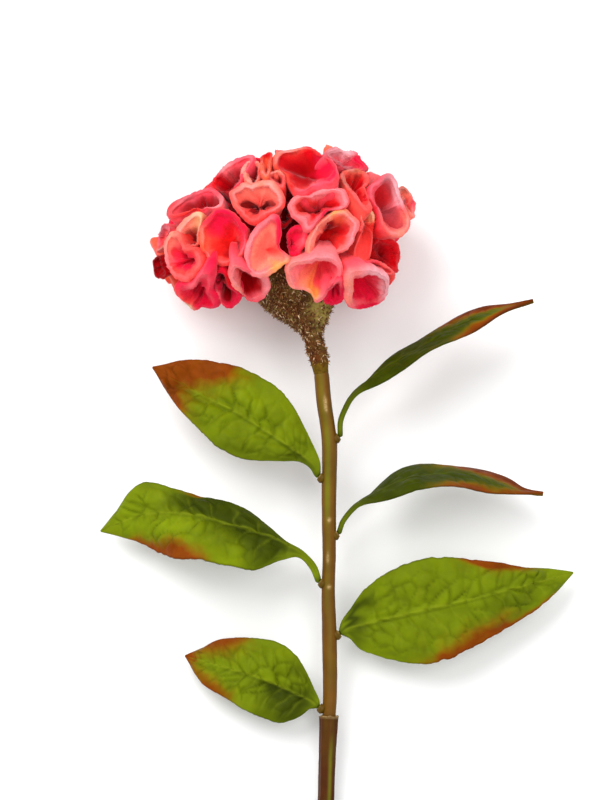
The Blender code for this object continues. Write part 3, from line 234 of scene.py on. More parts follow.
# Depth of the hollows that are shallow, by the place in FRONT_RUFFLES
SHALLOW = {2: 0.25, 3: 0.42, 11: 0.6, 12: 0.3, 15: 0.7, 19: 0.29, 20: 0.3, 23: 0.7, 24: 0.22}
FRONT_TILT = 0.45  # the rims at the crest's edges turn no further to the side than this
FRONT_RUFFLES = (
    # x, y, lift, direction and depth of the lowest lip, radii of the rim, radii of the hollow
    (-47.0, 256.8, -1, 200, 1,
     (5.8, 6.6, 15.8, 11.3, 7.8, 6.6, 6.5, 7.3, 8.7, 9.5, 7.9, 7.2, 6.4, 5.2, 4.8, 5.3),
     (4.5, 5.3, 6.1, 4.8, 3.6, 3.3, 3.3, 3.6, 4.7, 5.8, 5.7, 5.4, 3.8, 3.3, 3.2, 3.7)),
    (-35.7, 259.4, -1, 0, 1,
     (3.1, 3.7, 4.4, 6.1, 6.7, 7.2, 6.8, 6.4, 5.6, 5.5, 5.5, 5.6, 5.6, 4.2, 3.7, 3.1),
     (1.6, 1.7, 2.1, 3.3, 3.4, 3.3, 2.3, 1.9, 1.6, 1.6, 2.0, 2.7, 4.3, 2.9, 2.3, 1.8)),
    (-30.0, 263.9, 0, 90, 0,
     (2.1, 2.4, 3.4, 7.1, 6.1, 5.3, 3.7, 3.2, 3.1, 3.2, 3.9, 5.5, 6.7, 4.9, 2.7, 2.2),
     (0.5, 0.6, 0.8, 1.6, 3.1, 1.2, 0.7, 0.6, 0.5, 0.6, 0.8, 1.7, 3.5, 1.2, 0.7, 0.6)),
    (-8.6, 263.5, 0.2, 262, 3.5,
     (12.0, 8.7, 7.3, 7.5, 8.4, 9.7, 11.8, 16.9, 18.9, 14.0, 15.0, 16.3, 12.5, 12.4, 14.2, 14.1),
     (9.9, 6.4, 5.7, 5.7, 5.7, 6.5, 6.9, 8.0, 9.5, 8.1, 5.8, 5.0, 5.0, 5.5, 7.0, 9.0)),
    (7.1, 265.8, -1, 90, 1,
     (9.0, 7.7, 7.1, 6.7, 7.0, 8.0, 9.0, 9.6, 5.4, 4.1, 3.5, 3.5, 4.1, 4.5, 5.7, 13.0),
     (3.7, 2.3, 1.9, 1.8, 2.0, 2.3, 3.0, 5.6, 4.3, 2.4, 1.9, 1.6, 1.7, 2.0, 3.0, 5.3)),
    (12.9, 256.0, -0.5, 270, 0,
     (6.2, 5.8, 5.5, 5.1, 5.5, 5.8, 7.2, 8.4, 7.2, 6.5, 6.7, 7.9, 10.7, 16.9, 5.9, 5.8),
     (3.2, 3.1, 3.4, 3.1, 3.3, 3.4, 3.5, 3.6, 3.2, 3.1, 2.8, 3.0, 3.4, 3.8, 3.5, 3.2)),
    (29.0, 243.9, 1, 20, 1,
     (7.3, 6.3, 6.7, 9.6, 15.7, 14.2, 13.7, 11.5, 7.7, 6.9, 8.2, 11.7, 14.4, 15.6, 13.2, 9.6),
     (3.1, 2.9, 3.1, 4.2, 8.9, 8.9, 7.5, 5.3, 4.4, 3.9, 4.0, 4.8, 6.3, 9.6, 8.9, 3.9)),
    (37.1, 247.6, -2, 0, 1,
     (3.4, 3.3, 3.8, 4.3, 6.1, 8.4, 6.2, 3.2, 2.4, 2.2, 2.3, 2.9, 5.1, 9.8, 6.2, 4.2),
     (1.6, 1.5, 1.7, 2.3, 3.3, 5.4, 3.6, 1.9, 1.1, 0.9, 1.0, 1.6, 3.0, 5.5, 3.4, 2.0)),
    (-34.2, 244.8, 2, 90, 0.5,
     (12.6, 12.9, 12.7, 11.8, 10.6, 10.6, 12.6, 14.0, 11.9, 10.1, 9.8, 10.4, 9.8, 8.2, 8.2, 10.6),
     (7.0, 0.5, 0.5, 0.5, 0.5, 0.5, 0.5, 0.5, 6.7, 3.3, 2.1, 1.6, 1.5, 1.6, 2.1, 3.3)),
    (-24.7, 256.9, 0.5, 90, 0,
     (3.8, 3.8, 3.9, 3.9, 4.0, 3.9, 4.2, 4.6, 4.3, 3.7, 3.1, 3.0, 3.5, 5.3, 4.8, 4.4),
     (1.6, 1.3, 1.3, 1.6, 2.2, 2.0, 2.2, 2.7, 1.6, 1.2, 1.2, 1.3, 1.6, 2.3, 2.5, 1.8)),
    (-60.4, 246.0, 0, 270, 1,
     (10.7, 9.6, 8.5, 7.3, 6.2, 6.1, 6.5, 8.0, 12.3, 18.0, 5.4, 4.5, 4.1, 4.1, 4.8, 8.6),
     (6.5, 5.3, 4.5, 3.3, 3.0, 3.2, 3.6, 4.2, 6.4, 5.8, 3.7, 3.0, 2.8, 2.8, 3.4, 5.3)),
    (-79.4, 229.7, -2, 180, 0,
     (2.4, 3.2, 5.2, 6.2, 5.9, 4.3, 3.9, 3.4, 3.4, 4.0, 5.1, 7.4, 5.9, 3.2, 2.4, 2.1),
     (1.1, 1.5, 2.4, 2.7, 2.6, 1.7, 1.4, 1.4, 1.5, 1.5, 1.8, 2.8, 2.5, 1.8, 1.1, 0.8)),
    (-80.7, 215.6, -5, 180, 0,
     (2.3, 2.2, 2.5, 3.5, 5.9, 5.4, 3.9, 2.9, 2.7, 2.9, 3.7, 4.7, 5.1, 5.7, 5.0, 3.0),
     (1.0, 0.9, 1.2, 2.2, 3.9, 3.9, 2.2, 1.6, 1.4, 1.6, 2.1, 2.6, 3.5, 3.8, 2.4, 1.7)),
    (-71.8, 218.4, 1, 250, 1,
     (12.8, 11.8, 8.7, 8.0, 13.6, 13.2, 10.0, 7.3, 6.2, 6.2, 6.4, 7.6, 9.4, 11.0, 11.7, 12.4),
     (3.3, 2.3, 2.0, 2.1, 2.5, 3.6, 4.3, 2.6, 2.1, 2.1, 2.3, 2.7, 3.3, 3.5, 3.1, 3.2)),
    (-66.5, 227.4, 1, 60, 0,
     (4.9, 5.1, 7.9, 14.8, 11.3, 9.7, 8.4, 5.8, 4.1, 3.6, 3.7, 3.2, 2.9, 3.2, 3.5, 4.5),
     (3.1, 2.9, 2.3, 2.0, 2.1, 2.6, 2.5, 3.0, 2.8, 2.3, 2.3, 1.9, 1.6, 1.9, 2.2, 3.2)),
    (-48.0, 227.3, 1.5, 165, 0.5,
     (9.1, 10.3, 10.8, 12.1, 14.8, 15.9, 14.7, 14.7, 14.1, 13.5, 12.7, 12.4, 11.8, 11.0, 9.7, 8.8),
     (5.2, 4.9, 5.3, 6.5, 8.7, 7.3, 5.2, 4.2, 4.5, 5.8, 7.1, 6.3, 6.5, 7.0, 6.7, 5.8)),
    (-64.0, 200.5, 0, 270, 1,
     (11.4, 9.9, 13.0, 14.0, 8.2, 7.6, 9.1, 10.5, 8.3, 6.1, 5.3, 5.1, 5.8, 5.6, 6.3, 12.5),
     (4.4, 3.0, 2.6, 2.6, 2.5, 2.6, 3.3, 3.6, 3.3, 3.4, 2.7, 2.6, 2.9, 2.8, 2.8, 3.2)),
    (-51.0, 205.2, -1.5, 270, 0,
     (6.1, 5.5, 6.0, 7.7, 9.3, 7.9, 6.0, 4.2, 3.6, 3.4, 3.5, 4.3, 8.7, 10.6, 11.3, 11.0),
     (1.3, 1.1, 1.2, 1.8, 4.6, 6.3, 3.6, 2.4, 2.0, 1.9, 2.2, 3.0, 4.2, 6.6, 4.1, 1.8)),
    (-38.1, 206.5, 0.5, 250, 1,
     (10.6, 10.1, 7.6, 6.7, 7.1, 9.5, 11.8, 10.3, 7.7, 6.3, 5.8, 6.2, 7.6, 8.4, 9.5, 10.2),
     (4.6, 3.9, 3.3, 3.2, 3.7, 4.7, 7.2, 4.3, 3.4, 3.2, 3.5, 4.6, 4.6, 4.6, 4.7, 5.4)),
    (-31.1, 222.9, 2.5, 305, 2,
     (8.6, 8.1, 11.6, 18.0, 14.3, 10.9, 9.2, 8.6, 8.5, 9.4, 11.1, 12.7, 13.3, 12.2, 11.8, 14.0),
     (5.2, 5.4, 6.6, 9.9, 7.6, 5.2, 4.4, 4.2, 4.5, 5.7, 7.5, 9.7, 7.2, 5.1, 4.6, 4.5)),
    (-17.9, 226.0, -1, 280, 0,
     (7.4, 8.7, 10.1, 9.5, 7.8, 5.2, 3.1, 2.3, 2.0, 2.1, 2.6, 3.7, 6.2, 6.7, 5.9, 6.1),
     (0.6, 0.6, 0.7, 1.1, 1.6, 1.2, 0.8, 0.5, 0.4, 0.4, 0.6, 1.0, 1.8, 1.1, 0.7, 0.6)),
    (-5.1, 243.8, 3, 90, 0,
     (14.0, 14.9, 12.0, 9.2, 7.7, 6.8, 7.3, 11.4, 13.8, 13.7, 11.5, 13.3, 7.9, 5.7, 4.9, 6.1),
     (8.7, 6.4, 3.3, 2.5, 2.2, 2.3, 2.8, 4.5, 9.5, 6.3, 4.1, 3.2, 2.6, 2.5, 2.8, 3.9)),
    (1.2, 229.1, 1.5, 270, 0.5,
     (11.3, 14.4, 14.3, 14.1, 11.8, 9.8, 9.3, 9.8, 10.6, 13.5, 13.8, 9.1, 8.9, 9.3, 9.8, 10.2),
     (5.6, 7.1, 8.8, 6.3, 5.2, 4.8, 5.1, 4.9, 5.1, 6.6, 9.0, 5.8, 5.0, 5.1, 4.8, 5.2)),
    (17.8, 233.5, 0.5, 270, 1,
     (3.1, 3.6, 5.5, 8.2, 9.6, 7.9, 3.1, 2.8, 3.0, 3.9, 4.8, 16.7, 17.2, 7.9, 4.3, 3.3),
     (1.5, 1.7, 2.4, 3.4, 5.3, 3.8, 1.8, 1.5, 1.4, 1.5, 1.8, 3.1, 7.0, 2.9, 1.8, 1.5)),
    (26.8, 220.0, -3, 200, 1,
     (8.3, 8.0, 8.3, 8.7, 9.9, 10.4, 8.0, 6.2, 3.8, 3.0, 2.6, 2.7, 3.3, 8.2, 9.6, 8.6),
     (0.6, 0.7, 1.0, 1.5, 2.6, 4.8, 6.0, 3.5, 2.5, 1.7, 1.3, 1.4, 2.0, 3.0, 2.2, 0.9)),
    (-6.0, 209.9, 1.5, 262, 4,
     (11.6, 13.3, 12.9, 11.5, 11.1, 11.1, 12.7, 16.4, 14.7, 12.4, 8.1, 7.7, 11.7, 10.3, 9.0, 9.1),
     (7.4, 9.2, 7.3, 5.8, 5.1, 5.2, 5.3, 6.4, 7.2, 8.1, 6.6, 6.4, 6.4, 4.6, 4.4, 5.0)),
    (2.2, 202.3, -0.5, 270, 0.5,
     (4.7, 5.2, 6.2, 8.2, 4.8, 3.9, 3.8, 4.4, 4.6, 5.6, 6.2, 5.6, 5.2, 4.9, 5.4, 5.0),
     (1.9, 1.8, 2.1, 2.6, 1.8, 1.6, 1.6, 2.0, 2.2, 2.0, 2.1, 2.3, 1.8, 1.7, 1.8, 2.4)),
    (19.5, 203.5, 1, 240, 1,
     (8.6, 9.9, 11.1, 10.8, 10.7, 11.5, 13.6, 13.0, 12.0, 12.8, 12.0, 9.1, 7.6, 7.1, 7.4, 7.7),
     (5.3, 6.2, 6.4, 5.6, 5.4, 4.8, 4.8, 4.7, 5.1, 5.9, 6.6, 6.0, 5.2, 4.5, 4.6, 4.6)),
    (20.7, 215.8, -0.5, 0, 0,
     (6.6, 3.6, 2.8, 2.4, 2.1, 2.2, 2.6, 4.1, 10.0, 3.8, 2.3, 1.8, 1.8, 2.2, 3.3, 12.2),
     (2.6, 1.4, 1.0, 0.9, 0.8, 0.9, 1.1, 1.9, 3.0, 1.2, 0.9, 0.5, 0.5, 0.7, 1.0, 2.0)),
    (-22.0, 240.5, -5.5, 0, 0.5,
     (4.6, 4.8, 5.4, 6.0, 6.4, 6.2, 5.6, 5.0, 4.8, 5.0, 5.8, 6.6, 7.0, 6.4, 5.6, 5.0),
     (2.0, 2.2, 2.8, 3.4, 3.8, 3.6, 3.0, 2.4, 2.2, 2.4, 3.0, 3.6, 4.0, 3.6, 2.8, 2.2)),
)
# Rules for the ruffles behind the front ones: how far apart they are and the depth they start
# behind, then the ranges of their size (a share of the spacing), lift, flatness, folds and wall
BACK_RULE = {
    "spacing": 22.0, "front_limit": 8.0, "size": (0.54, 0.68), "outward": 1, "lift": (-1.5, 0.8),
    "lip": 2.5, "flat": (0.66, 0.95), "fold": (0.1, 0.42), "wall": (3.0, 4.2), "grid": (72, 30),
}
TUCK_RULE = {
    "spacing": 13.0, "front_limit": 2.0, "size": (0.66, 0.8), "outward": -1, "lift": (3.0, 5.0),
    "lip": 2.0, "flat": (0.75, 0.95), "fold": (0.1, 0.35), "wall": (2.6, 3.6), "grid": (56, 22),
}
BACK_CANDIDATES = 900
UNDERSIDE = 203.0  # no ruffle of the rules has its middle below this height
SKIRT_COUNT = 15  # small tucks in a ring under the crest, round the funnel's top
SKIRT_FRONT_LIMIT = 14.0
SKIRT_DROP, SKIRT_WAVE = 12.5, 1.8  # how far they hang below the funnel's top, give or take
SKIRT_CLEARANCE = 7.0
CREVICE = 0.7  # left open between neighbours
PRESS = 9.0  # how sharply a rim flattens where it meets a neighbour
NEIGHBOURS_WITHIN = 42.0
FOLD_REACH = 0.5
WARP = 1.9
WARP_LENGTHS = (24.0, 31.0)
SEED = 7

# Finishes. Colours are sRGB, as they would be picked by eye.
# The palest pink dye is a pale pink of the velvet in its patches, and also the painted highlight
# along the lips.
DYES = {
    "deep": (0.60, 0.00, 0.03), "red": (0.83, 0.03, 0.08), "ember": (0.94, 0.16, 0.14),
    "coral": (0.96, 0.29, 0.27), "orange": (0.97, 0.37, 0.24), "gold": (0.97, 0.63, 0.29),
    "cream": (0.94, 0.77, 0.54), "peach": (0.97, 0.52, 0.44), "blush": (0.97, 0.47, 0.49),
    "pink": (0.96, 0.29, 0.36), "magenta": (0.90, 0.08, 0.24), "pale_pink_and_sheen": (0.92, 0.64, 0.67),
    "dusty": (0.77, 0.34, 0.38), "tan": (0.78, 0.38, 0.29),
}
# Places on a ruffle, from its root (0) over the lip's top (0.6) to the bottom of its hollow (1)
WALL, OUTER, RIM, INNER, HOLLOW = 0.2, 0.44, 0.6, 0.78, 0.95
# Dyes of the front ruffles, in the order of FRONT_RUFFLES: wall, rim, hollow, ridges along the
# lip, then patches as angle, place, reach in degrees and dye
RUFFLE_DYES = (
    ("deep", "pink", "deep", 0, (
        (200, INNER, 90, "deep"), (260, INNER, 90, "deep"), (235, RIM, 50, "deep"),
        (200, RIM, 40, "red"), (60, RIM, 45, "pink"), (100, RIM, 30, "blush"),
        (10, INNER, 30, "pink"))),
    ("coral", "peach", "deep", 3, ((0, RIM, 50, "coral"),)),
    ("orange", "orange", "orange", 0, ((90, RIM, 40, "red"),)),
    ("pink", "coral", "deep", 1, (
        (180, RIM, 35, "orange"), (140, RIM, 25, "peach"), (0, RIM, 40, "pink"),
        (290, RIM, 45, "pink"), (290, WALL, 60, "pink"), (225, WALL, 25, "ember"),
        (225, RIM, 18, "ember"), (180, INNER, 60, "red"), (90, INNER, 45, "red"),
        (200, HOLLOW, 70, "deep"), (0, HOLLOW, 50, "magenta"), (320, INNER, 30, "magenta"))),
    ("dusty", "dusty", "pink", 3, (
        (90, RIM, 60, "pale_pink_and_sheen"), (0, RIM, 40, "magenta"), (330, WALL, 40, "pink"),
        (220, WALL, 70, "magenta"))),
    ("tan", "coral", "red", 1, (
        (90, RIM, 40, "tan"), (190, RIM, 40, "tan"), (180, WALL, 40, "tan"),
        (270, WALL, 40, "coral"))),
    ("red", "pink", "red", 0, (
        (90, RIM, 30, "dusty"), (60, RIM, 25, "pale_pink_and_sheen"), (20, RIM, 30, "pale_pink_and_sheen"),
        (270, RIM, 50, "coral"), (300, RIM, 30, "peach"), (180, WALL, 50, "red"),
        (0, HOLLOW, 60, "dusty"))),
    ("coral", "peach", "coral", 1, (
        (100, RIM, 30, "tan"), (0, RIM, 40, "pink"), (230, RIM, 40, "dusty"))),
    ("coral", "coral", "deep", 1, (
        (90, RIM, 70, "peach"), (90, WALL, 60, "coral"), (90, INNER, 55, "peach"),
        (90, HOLLOW, 60, "coral"), (270, WALL, 80, "ember"))),
    ("ember", "coral", "red", 0, ((90, RIM, 60, "peach"),)),
    ("dusty", "pink", "deep", 3, (
        (180, RIM, 50, "dusty"), (230, RIM, 35, "ember"), (0, RIM, 40, "blush"),
        (60, RIM, 40, "pink"))),
    ("coral", "pink", "coral", 1, ((90, RIM, 50, "dusty"), (270, RIM, 50, "tan"))),
    ("deep", "deep", "deep", 0, ()),
    ("ember", "coral", "magenta", 1, (
        (180, RIM, 45, "blush"), (120, RIM, 40, "peach"), (0, WALL, 50, "ember"),
        (250, WALL, 60, "coral"))),
    ("coral", "peach", "deep", 0, (
        (60, RIM, 25, "cream"), (120, RIM, 35, "peach"), (0, RIM, 50, "orange"),
        (270, RIM, 50, "coral"))),
    ("coral", "coral", "ember", 1, (
        (100, RIM, 45, "magenta"), (140, RIM, 25, "magenta"), (30, RIM, 40, "magenta"),
        (350, RIM, 35, "pink"), (180, RIM, 30, "orange"), (150, WALL, 40, "orange"),
        (90, INNER, 60, "magenta"), (300, HOLLOW, 60, "deep"))),
    ("magenta", "magenta", "magenta", 0, (
        (200, RIM, 30, "coral"), (220, WALL, 30, "coral"), (235, OUTER, 25, "cream"),
        (90, RIM, 40, "pink"))),
    ("red", "magenta", "deep", 0, ((225, RIM, 40, "pink"), (45, RIM, 40, "red"))),
    ("pink", "pink", "red", 1, (
        (180, RIM, 50, "peach"), (150, RIM, 35, "blush"), (0, RIM, 60, "blush"),
        (250, WALL, 50, "magenta"), (270, HOLLOW, 50, "deep"))),
    ("blush", "blush", "peach", 1, (
        (45, RIM, 45, "magenta"), (15, RIM, 30, "magenta"), (45, WALL, 50, "magenta"),
        (300, RIM, 28, "gold"), (300, WALL, 40, "gold"), (90, HOLLOW, 50, "peach"),
        (330, INNER, 25, "peach"), (0, HOLLOW, 40, "coral"))),
    ("magenta", "magenta", "magenta", 0, ((0, RIM, 40, "pink"),)),
    ("pink", "blush", "red", 2, (
        (70, RIM, 50, "blush"), (180, RIM, 50, "blush"), (180, INNER, 30, "coral"),
        (300, RIM, 50, "magenta"), (0, WALL, 40, "pink"))),
    ("coral", "peach", "red", 1, (
        (85, RIM, 22, "gold"), (70, INNER, 25, "orange"), (120, RIM, 30, "peach"),
        (270, RIM, 60, "blush"), (0, RIM, 40, "blush"), (200, RIM, 40, "peach"),
        (90, HOLLOW, 40, "deep"), (330, HOLLOW, 30, "ember"))),
    ("coral", "coral", "coral", 0, (
        (90, RIM, 50, "peach"), (60, RIM, 25, "cream"), (100, WALL, 40, "peach"),
        (0, RIM, 50, "ember"), (250, RIM, 40, "coral"))),
    ("red", "red", "deep", 0, ((0, RIM, 60, "red"), (180, RIM, 60, "deep"))),
    ("blush", "blush", "pink", 2, (
        (180, RIM, 50, "peach"), (190, INNER, 40, "blush"), (215, HOLLOW, 30, "peach"),
        (243, INNER, 20, "gold"), (243, RIM, 16, "gold"), (0, HOLLOW, 50, "pink"),
        (330, RIM, 40, "pink"), (300, WALL, 50, "magenta"))),
    ("magenta", "magenta", "magenta", 0, ((90, RIM, 40, "pink"),)),
    ("pink", "blush", "magenta", 2, (
        (0, RIM, 55, "pale_pink_and_sheen"), (60, RIM, 40, "pale_pink_and_sheen"), (170, RIM, 35, "peach"),
        (180, WALL, 50, "coral"), (270, RIM, 45, "magenta"), (270, WALL, 60, "pink"))),
    ("coral", "pink", "coral", 0, ((0, RIM, 40, "coral"),)),
    ("deep", "deep", "deep", 0, ()),
)
BACK_RIMS = ("coral", "pink", "blush", "magenta", "peach", "coral", "dusty", "orange", "pink")
BACK_HOLLOWS = ("deep", "red", "deep", "coral")

# Stage, in metres; the camera's place is in the plant's millimetres
FLOOR_REACH = 1.7
FLOOR_DROP = 0.0002  # the floor lies this far below the plant
LAMPS = (  # name, place, share of the key's power
    ("key", (-0.62, 0.72, 1.45), 1.0), ("side", (0.45, -0.1, 1.7), 0.45),
)
LAMP_SIZE = 1.1
LIT_POINT = Vector((0, 0.02, 0.03))
CAMERA_AT = (-13.9, 151.7, 3000.0)
SENSOR_HEIGHT = 24.0
FOCAL_LENGTH = 187.5

# Rust blush, and painted light and shade, on the leaves: along the midrib, across (-1 lower
# edge, 1 upper edge), their reaches, and how much of it. Shade paints light above 0 and shade
# below 0; a rust above 1 lets the blush darken into painted shade on the leaves seen edge on.
LEAF_MARKS = {
    "leaf_left_upper": {
        "blush": ((1.0, 0.0, 0.16, 2.0, 1.0), (0.82, 1.0, 0.18, 0.75, 1.0),
                  (0.66, 1.05, 0.10, 0.35, 0.9), (0.88, -1.0, 0.16, 0.65, 1.0)),
        "shade": ((0.10, -0.6, 0.14, 0.8, -0.8), (0.45, -1.0, 0.2, 0.3, -0.3),
                  (0.55, 0.5, 0.2, 0.4, 0.35), (0.78, -0.35, 0.06, 0.25, -0.5)),
    },
    "leaf_left_middle": {
        "blush": ((0.74, -1.0, 0.18, 0.24, 1.0), (0.60, -1.0, 0.08, 0.22, 0.8),
                  (0.62, 1.0, 0.06, 0.10, 0.7)),
        "shade": ((0.42, 0.6, 0.22, 1.0, -1.0), (0.62, 0.6, 0.12, 0.5, -0.6),
                  (0.27, -0.3, 0.15, 0.7, -0.85), (0.86, 0.5, 0.10, 0.8, 0.6),
                  (0.64, -0.45, 0.12, 0.35, 0.7), (0.42, -0.85, 0.06, 0.25, 0.9)),
    },
    "leaf_left_lower": {
        "blush": ((1.0, 0.0, 0.07, 2.0, 0.85), (0.84, 1.0, 0.16, 0.7, 0.66),
                  (0.68, 1.0, 0.12, 0.35, 0.55), (0.84, -1.0, 0.14, 0.5, 0.66),
                  (0.66, -1.0, 0.13, 0.3, 0.6)),
        "shade": ((0.16, -0.5, 0.18, 0.8, -1.0), (0.34, -0.25, 0.12, 0.3, -0.7),
                  (0.12, 0.6, 0.10, 0.8, -0.5), (0.6, 0.3, 0.2, 0.35, 0.4)),
    },
    "leaf_right_lower": {
        "blush": ((0.70, 1.0, 0.13, 0.24, 1.0), (0.60, 1.0, 0.08, 0.12, 0.8),
                  (0.55, -1.0, 0.17, 0.34, 0.85), (0.77, -1.0, 0.18, 0.12, 0.8),
                  (0.38, -1.0, 0.08, 0.10, 0.7)),
        "shade": ((0.07, 0.6, 0.06, 0.6, -1.0), (0.05, -0.5, 0.05, 0.8, -0.6),
                  (0.45, 0.15, 0.2, 0.25, 0.4), (0.7, -0.5, 0.1, 0.3, -0.4)),
    },
    "leaf_right_upper": {
        "blush": ((1.0, 0.0, 0.12, 2.0, 1.4), (0.80, 1.0, 0.18, 0.5, 1.5),
                  (0.80, -1.0, 0.17, 0.3, 1.3)),
        "shade": ((0.45, 0.0, 0.7, 3.0, -1.1),),
        "smooth": 0.3,
        "rust": 1.6,
    },
    "leaf_right_middle": {
        "blush": ((1.0, 0.0, 0.14, 2.0, 1.4), (0.76, 1.0, 0.2, 0.55, 1.6),
                  (0.68, -1.0, 0.16, 0.25, 1.1)),
        "shade": ((0.45, 0.0, 0.7, 3.0, -1.1),),
        "smooth": 0.3,
        "rust": 1.6,
    },
}


# Numbers

def linear(colour):
    """A colour picked by eye, as the light it gives back."""
    colour = np.asarray(colour, float)
    return np.where(colour < 0.04045, colour / 12.92, ((colour + 0.055) / 1.055) ** 2.4)


def smooth_step(low, high, value):
    share = np.clip((np.asarray(value) - low) / (high - low), 0.0, 1.0)
    return share * share * (3 - 2 * share)


def mix(a, b, share):
    return a + (b - a) * share


def bell(*offs):
    """1 in the middle, falling softly to 0. Each argument is a value, its middle and its reach."""
    return np.exp(-sum(((value - middle) / reach) ** 2 for value, middle, reach in offs))


def ring_angles(count):
    return np.arange(count) * TURN / count


def wrapped(angles):
    """The same angles, between half a turn back and half a turn on."""
    return np.angle(np.exp(1j * angles))


def lumps(points, length, seed=0):
    """Smooth noise between -1 and 1 whose lumps are about this long, in millimetres."""
    place = np.asarray(points) / length + seed * 17.31
    cell = np.floor(place).astype(np.int64)
    t = place - cell
    t = t * t * t * (t * (t * 6 - 15) + 10)
    total = np.zeros(place.shape[:-1])
    for corner in itertools.product((0, 1), repeat=3):
        x, y, z = np.moveaxis(cell + corner, -1, 0)
        key = (x * 73856093 ^ y * 19349663 ^ z * 83492791 ^ seed * 2654435) & 0xFFFFFFFF
        key = ((key ^ (key >> 15)) * 2246822519) & 0xFFFFFFFF
        key = ((key ^ (key >> 13)) * 3266489917) & 0xFFFFFFFF
        total += ((key ^ (key >> 16)) % 65536 / 32767.5 - 1) * np.prod(
            np.where(corner, t, 1 - t), axis=-1)
    return total


def spline(a, b, c, d, t):
    """A smooth value between b and c, whose neighbours are a and d."""
    bend = (2 * a - 5 * b + 4 * c - d) * t * t + (3 * b - a - 3 * c + d) * t ** 3
    return 0.5 * (2 * b + (c - a) * t + bend)


def catmull(rows, places):
    """Smooth values at fractional places along a list of rows."""
    rows = np.asarray(rows, float)
    rows = np.concatenate([[2 * rows[0] - rows[1]], rows, [2 * rows[-1] - rows[-2]]])
    step = np.clip(np.floor(places).astype(int), 0, len(rows) - 4)
    t = (np.asarray(places) - step)[:, None]
    return spline(*(rows[step + shift] for shift in range(4)), t)


def smooth_path(points, count):
    """Evenly spaced points on a smooth curve through the given ones."""
    dense = catmull(points, np.linspace(0, len(points) - 1, 24 * (len(points) - 1) + 1))
    steps = np.linalg.norm(np.diff(dense[:, :3], axis=0), axis=1)
    along = np.concatenate([[0.0], np.cumsum(steps)])
    wanted = np.linspace(0, along[-1], count)
    return np.stack([np.interp(wanted, along, column) for column in dense.T], axis=1)


def smooth_interp(places, stations, values):
    """A smooth curve through values at uneven stations."""
    stations, values = np.asarray(stations), np.asarray(values, float)
    slopes = np.gradient(values, stations)
    step = np.clip(np.searchsorted(stations, places) - 1, 0, len(stations) - 2)
    width = stations[step + 1] - stations[step]
    t = np.clip((places - stations[step]) / width, 0, 1)
    a, b = values[step], values[step + 1]
    ta, tb = slopes[step] * width, slopes[step + 1] * width
    return (a * (1 + 2 * t) * (1 - t) ** 2 + ta * t * (1 - t) ** 2
            + b * t * t * (3 - 2 * t) + tb * t * t * (t - 1))


def unit(vectors):
    vectors = np.asarray(vectors, float)
    return vectors / np.maximum(np.linalg.norm(vectors, axis=-1, keepdims=True), 1e-9)


def round_value(values, angles):
    """Smooth values between numbers that are given in equal steps round a turn."""
    count = len(values)
    place = np.asarray(angles) / TURN * count
    step = np.floor(place).astype(int)
    near = (np.asarray(values)[(step + shift) % count] for shift in (-1, 0, 1, 2))
    return spline(*near, place - step)


def to_frame(points):
    """Points of the upright plant, in millimetres, laid down in the row frame, in metres."""
    x, y, z = np.moveaxis(np.asarray(points, float) * MM, -1, 0)
    c, s = math.cos(LEAN), math.sin(LEAN)
    return np.stack([x, y * c - z * s, y * s + z * c], axis=-1) + LAID_AT


# Meshes

def link(name, data, place=(0.0, 0.0, 0.0)):
    made = bpy.data.objects.new(name, data)
    made.location = place
    bpy.context.scene.collection.objects.link(made)
    return made


def signed_volume(points, quads):
    a, b, c, d = (points[quads[:, i]] for i in range(4))
    return np.sum(a * np.cross(b, c)) + np.sum(a * np.cross(c, d))


def ring_faces(rows, sides):
    """Quads between rings of as many points each."""
    row, side = np.divmod(np.arange((rows - 1) * sides), sides)
    a, b = row * sides + side, row * sides + (side + 1) % sides
    return np.stack([a, b, b + sides, a + sides], axis=1)


def closed_rings(rings):
    """A closed body through rings of points, with a fan over both ends: points, faces."""
    rows, sides, _ = rings.shape
    points = np.concatenate([rings.reshape(-1, 3), [rings[0].mean(0)], [rings[-1].mean(0)]])
    walls = ring_faces(rows, sides)
    here = np.arange(sides)
    after = (here + 1) % sides
    top = (rows - 1) * sides
    first = np.stack([after, here, np.full(sides, rows * sides)], axis=1)
    last = np.stack([top + here, top + after, np.full(sides, rows * sides + 1)], axis=1)
    middle = points.mean(axis=0)
    if signed_volume(points - middle, walls) < 0:
        walls, first, last = walls[:, ::-1], first[:, ::-1], last[:, ::-1]
    return points, (walls, first, last)


def on_ends(values):
    """Values of rings of points, with those of the two end points that closed_rings() adds."""
    flat = values.reshape(-1, *values.shape[2:])
    return np.concatenate([flat, [values[0].mean(axis=0)], [values[-1].mean(axis=0)]])


def grid_normals(rings):
    """Normals of a grid of points, whose columns close into rings."""
    across = np.roll(rings, -1, axis=1) - np.roll(rings, 1, axis=1)
    return unit(np.cross(across, np.gradient(rings, axis=0)))


